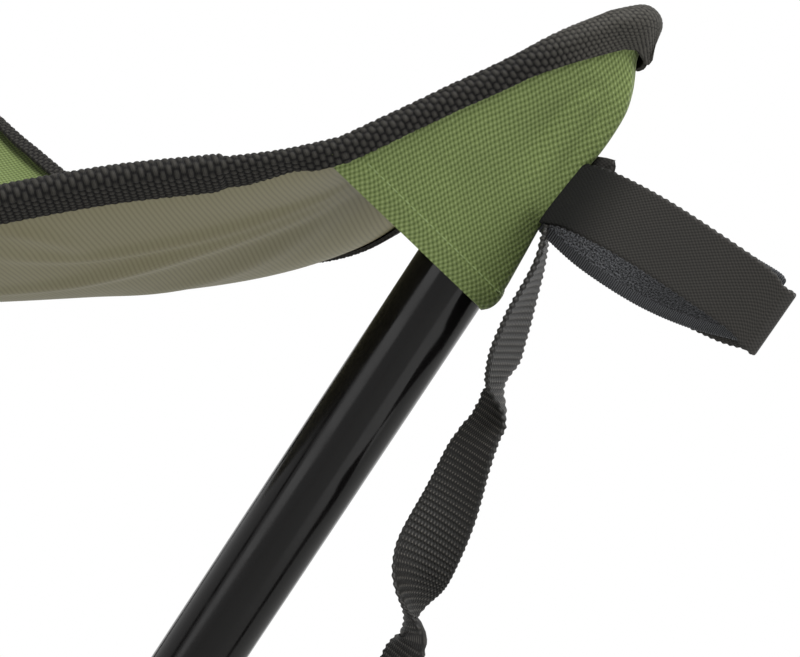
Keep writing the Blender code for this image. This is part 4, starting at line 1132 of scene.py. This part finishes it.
CREASE_SLANT = 0.85
LOOP_MIDDLE = -0.215
LOOP_RADIUS = TUBE_RADIUS + 0.0011
LOOP_STEP = 0.0015

# Polyester webbing: dull black ribs across, dotted with painted grey glints where the lengthwise yarns come
# up on the ribs' crests, with painted shade between the ribs.
webbing, tree, shader = new_material("black_ribbed_webbing", "#2C2927", 0.55, Specular_IOR_Level=0.3)
place = add(tree, "ShaderNodeUVMap", uv_map="UVMap").outputs[0]
crown = add(tree, "ShaderNodeAttribute", attribute_name="tone").outputs["Fac"]
yarn = weave(tree, place, along_mm=RIB_PITCH * 500, across_mm=0.5, wander_mm=0.2)
lift = ranged(tree, maths(tree, "MULTIPLY", yarn, crown), 0.1, 1.0)
tree.links.new(tinted(tree, lift, "#131210", "#625E58"), shader.inputs["Base Color"])
bumped(tree, shader, yarn, 0.8, 0.0002)


def ribbed(rows, over, across, reach, rise, length):
    """The webbing's ribs and scalloped edges on a strap's rows, with each point's tone, painted highlight on
    the ribs' crests and painted shade between them, and its place.
    """
    rib = np.cos(2 * math.pi * length / RIB_PITCH)[:, None]
    border = eased(np.abs(reach), CARRY_WIDTH / 2 - RIB_BORDER, CARRY_WIDTH / 2)
    rows = rows + (RIB_RELIEF * rib * rise)[..., None] * over
    rows = rows + (RIB_RELIEF / 2 * rib * border * np.sign(reach))[..., None] * across
    # The tone is painted light: highlight on the ribs' crests, shade between them, and no glints at the
    # scalloped borders.
    tone = (0.5 + 0.5 * rib) * (1 - BORDER_DARKER * border)
    return rows, tone, tape_places(length, reach)


# Each fibre of the webbing takes the twist a little before or after the next, which lays the folds aslant.
route = evenly(smooth(up_tube(CARRY_ROUTE), 60), CARRY_STATIONS)
path = route[:, :3]
ahead = unit(np.gradient(path, axis=0))
stud = np.array([0.0, 1.0, 0.0])
aside = np.cross(ahead, stud)
_, _, reach, rise, length = strap(path, aside, CARRY_WIDTH, CARRY_HALF, CARRY_STEP)
fibres = np.linspace(-CARRY_WIDTH / 2, CARRY_WIDTH / 2, FIBRES)
fibre_step = fibres[1] - fibres[0]
angle = np.radians(np.interp(length[:, None] + CREASE_SLANT * fibres, length, route[:, 3]))[..., None]
across = stud * np.cos(angle) + aside[:, None] * np.sin(angle)
bent = np.cumsum(across, 1) * fibre_step
bent -= bent[:, [FIBRES // 2]]
place = (reach[0] + CARRY_WIDTH / 2) / fibre_step
low = np.clip(np.floor(place).astype(int), 0, FIBRES - 2)
share = (place - low)[None, :, None]
bent = bent[:, low] * (1 - share) + bent[:, low + 1] * share
across = across[:, low] * (1 - share) + across[:, low + 1] * share
over = unit(np.cross(ahead[:, None], across))
rows = path[:, None] + bent + rise[None, :, None] * CARRY_HALF * over
rows, tone, uv = ribbed(rows, over, across, reach, rise, length)
carry = skin("carry_strap_webbing", placed(rows, leg_a), [webbing], uv, tone=tone)
dressed(carry, "leg_a", "carry_strap")
line = placed(evenly(path, 60), leg_a)

turn = np.linspace(0, 2 * math.pi, 360)
ring = np.stack([LOOP_RADIUS * np.cos(turn), LOOP_RADIUS * np.sin(turn), 0 * turn + LOOP_MIDDLE], -1)
across = np.broadcast_to(UPRIGHT, ring.shape)
rows, over, reach, rise, length = strap(ring, across, CARRY_WIDTH, CARRY_HALF, LOOP_STEP)
rows, tone, uv = ribbed(rows, over[:, None], across[:, None], reach, rise, length)
rows[-1] = rows[0]
loop = skin("carry_strap_band", placed(rows, leg_a), [webbing], uv, cap=False, tone=tone)
dressed(loop, "leg_a", "carry_strap_loop")
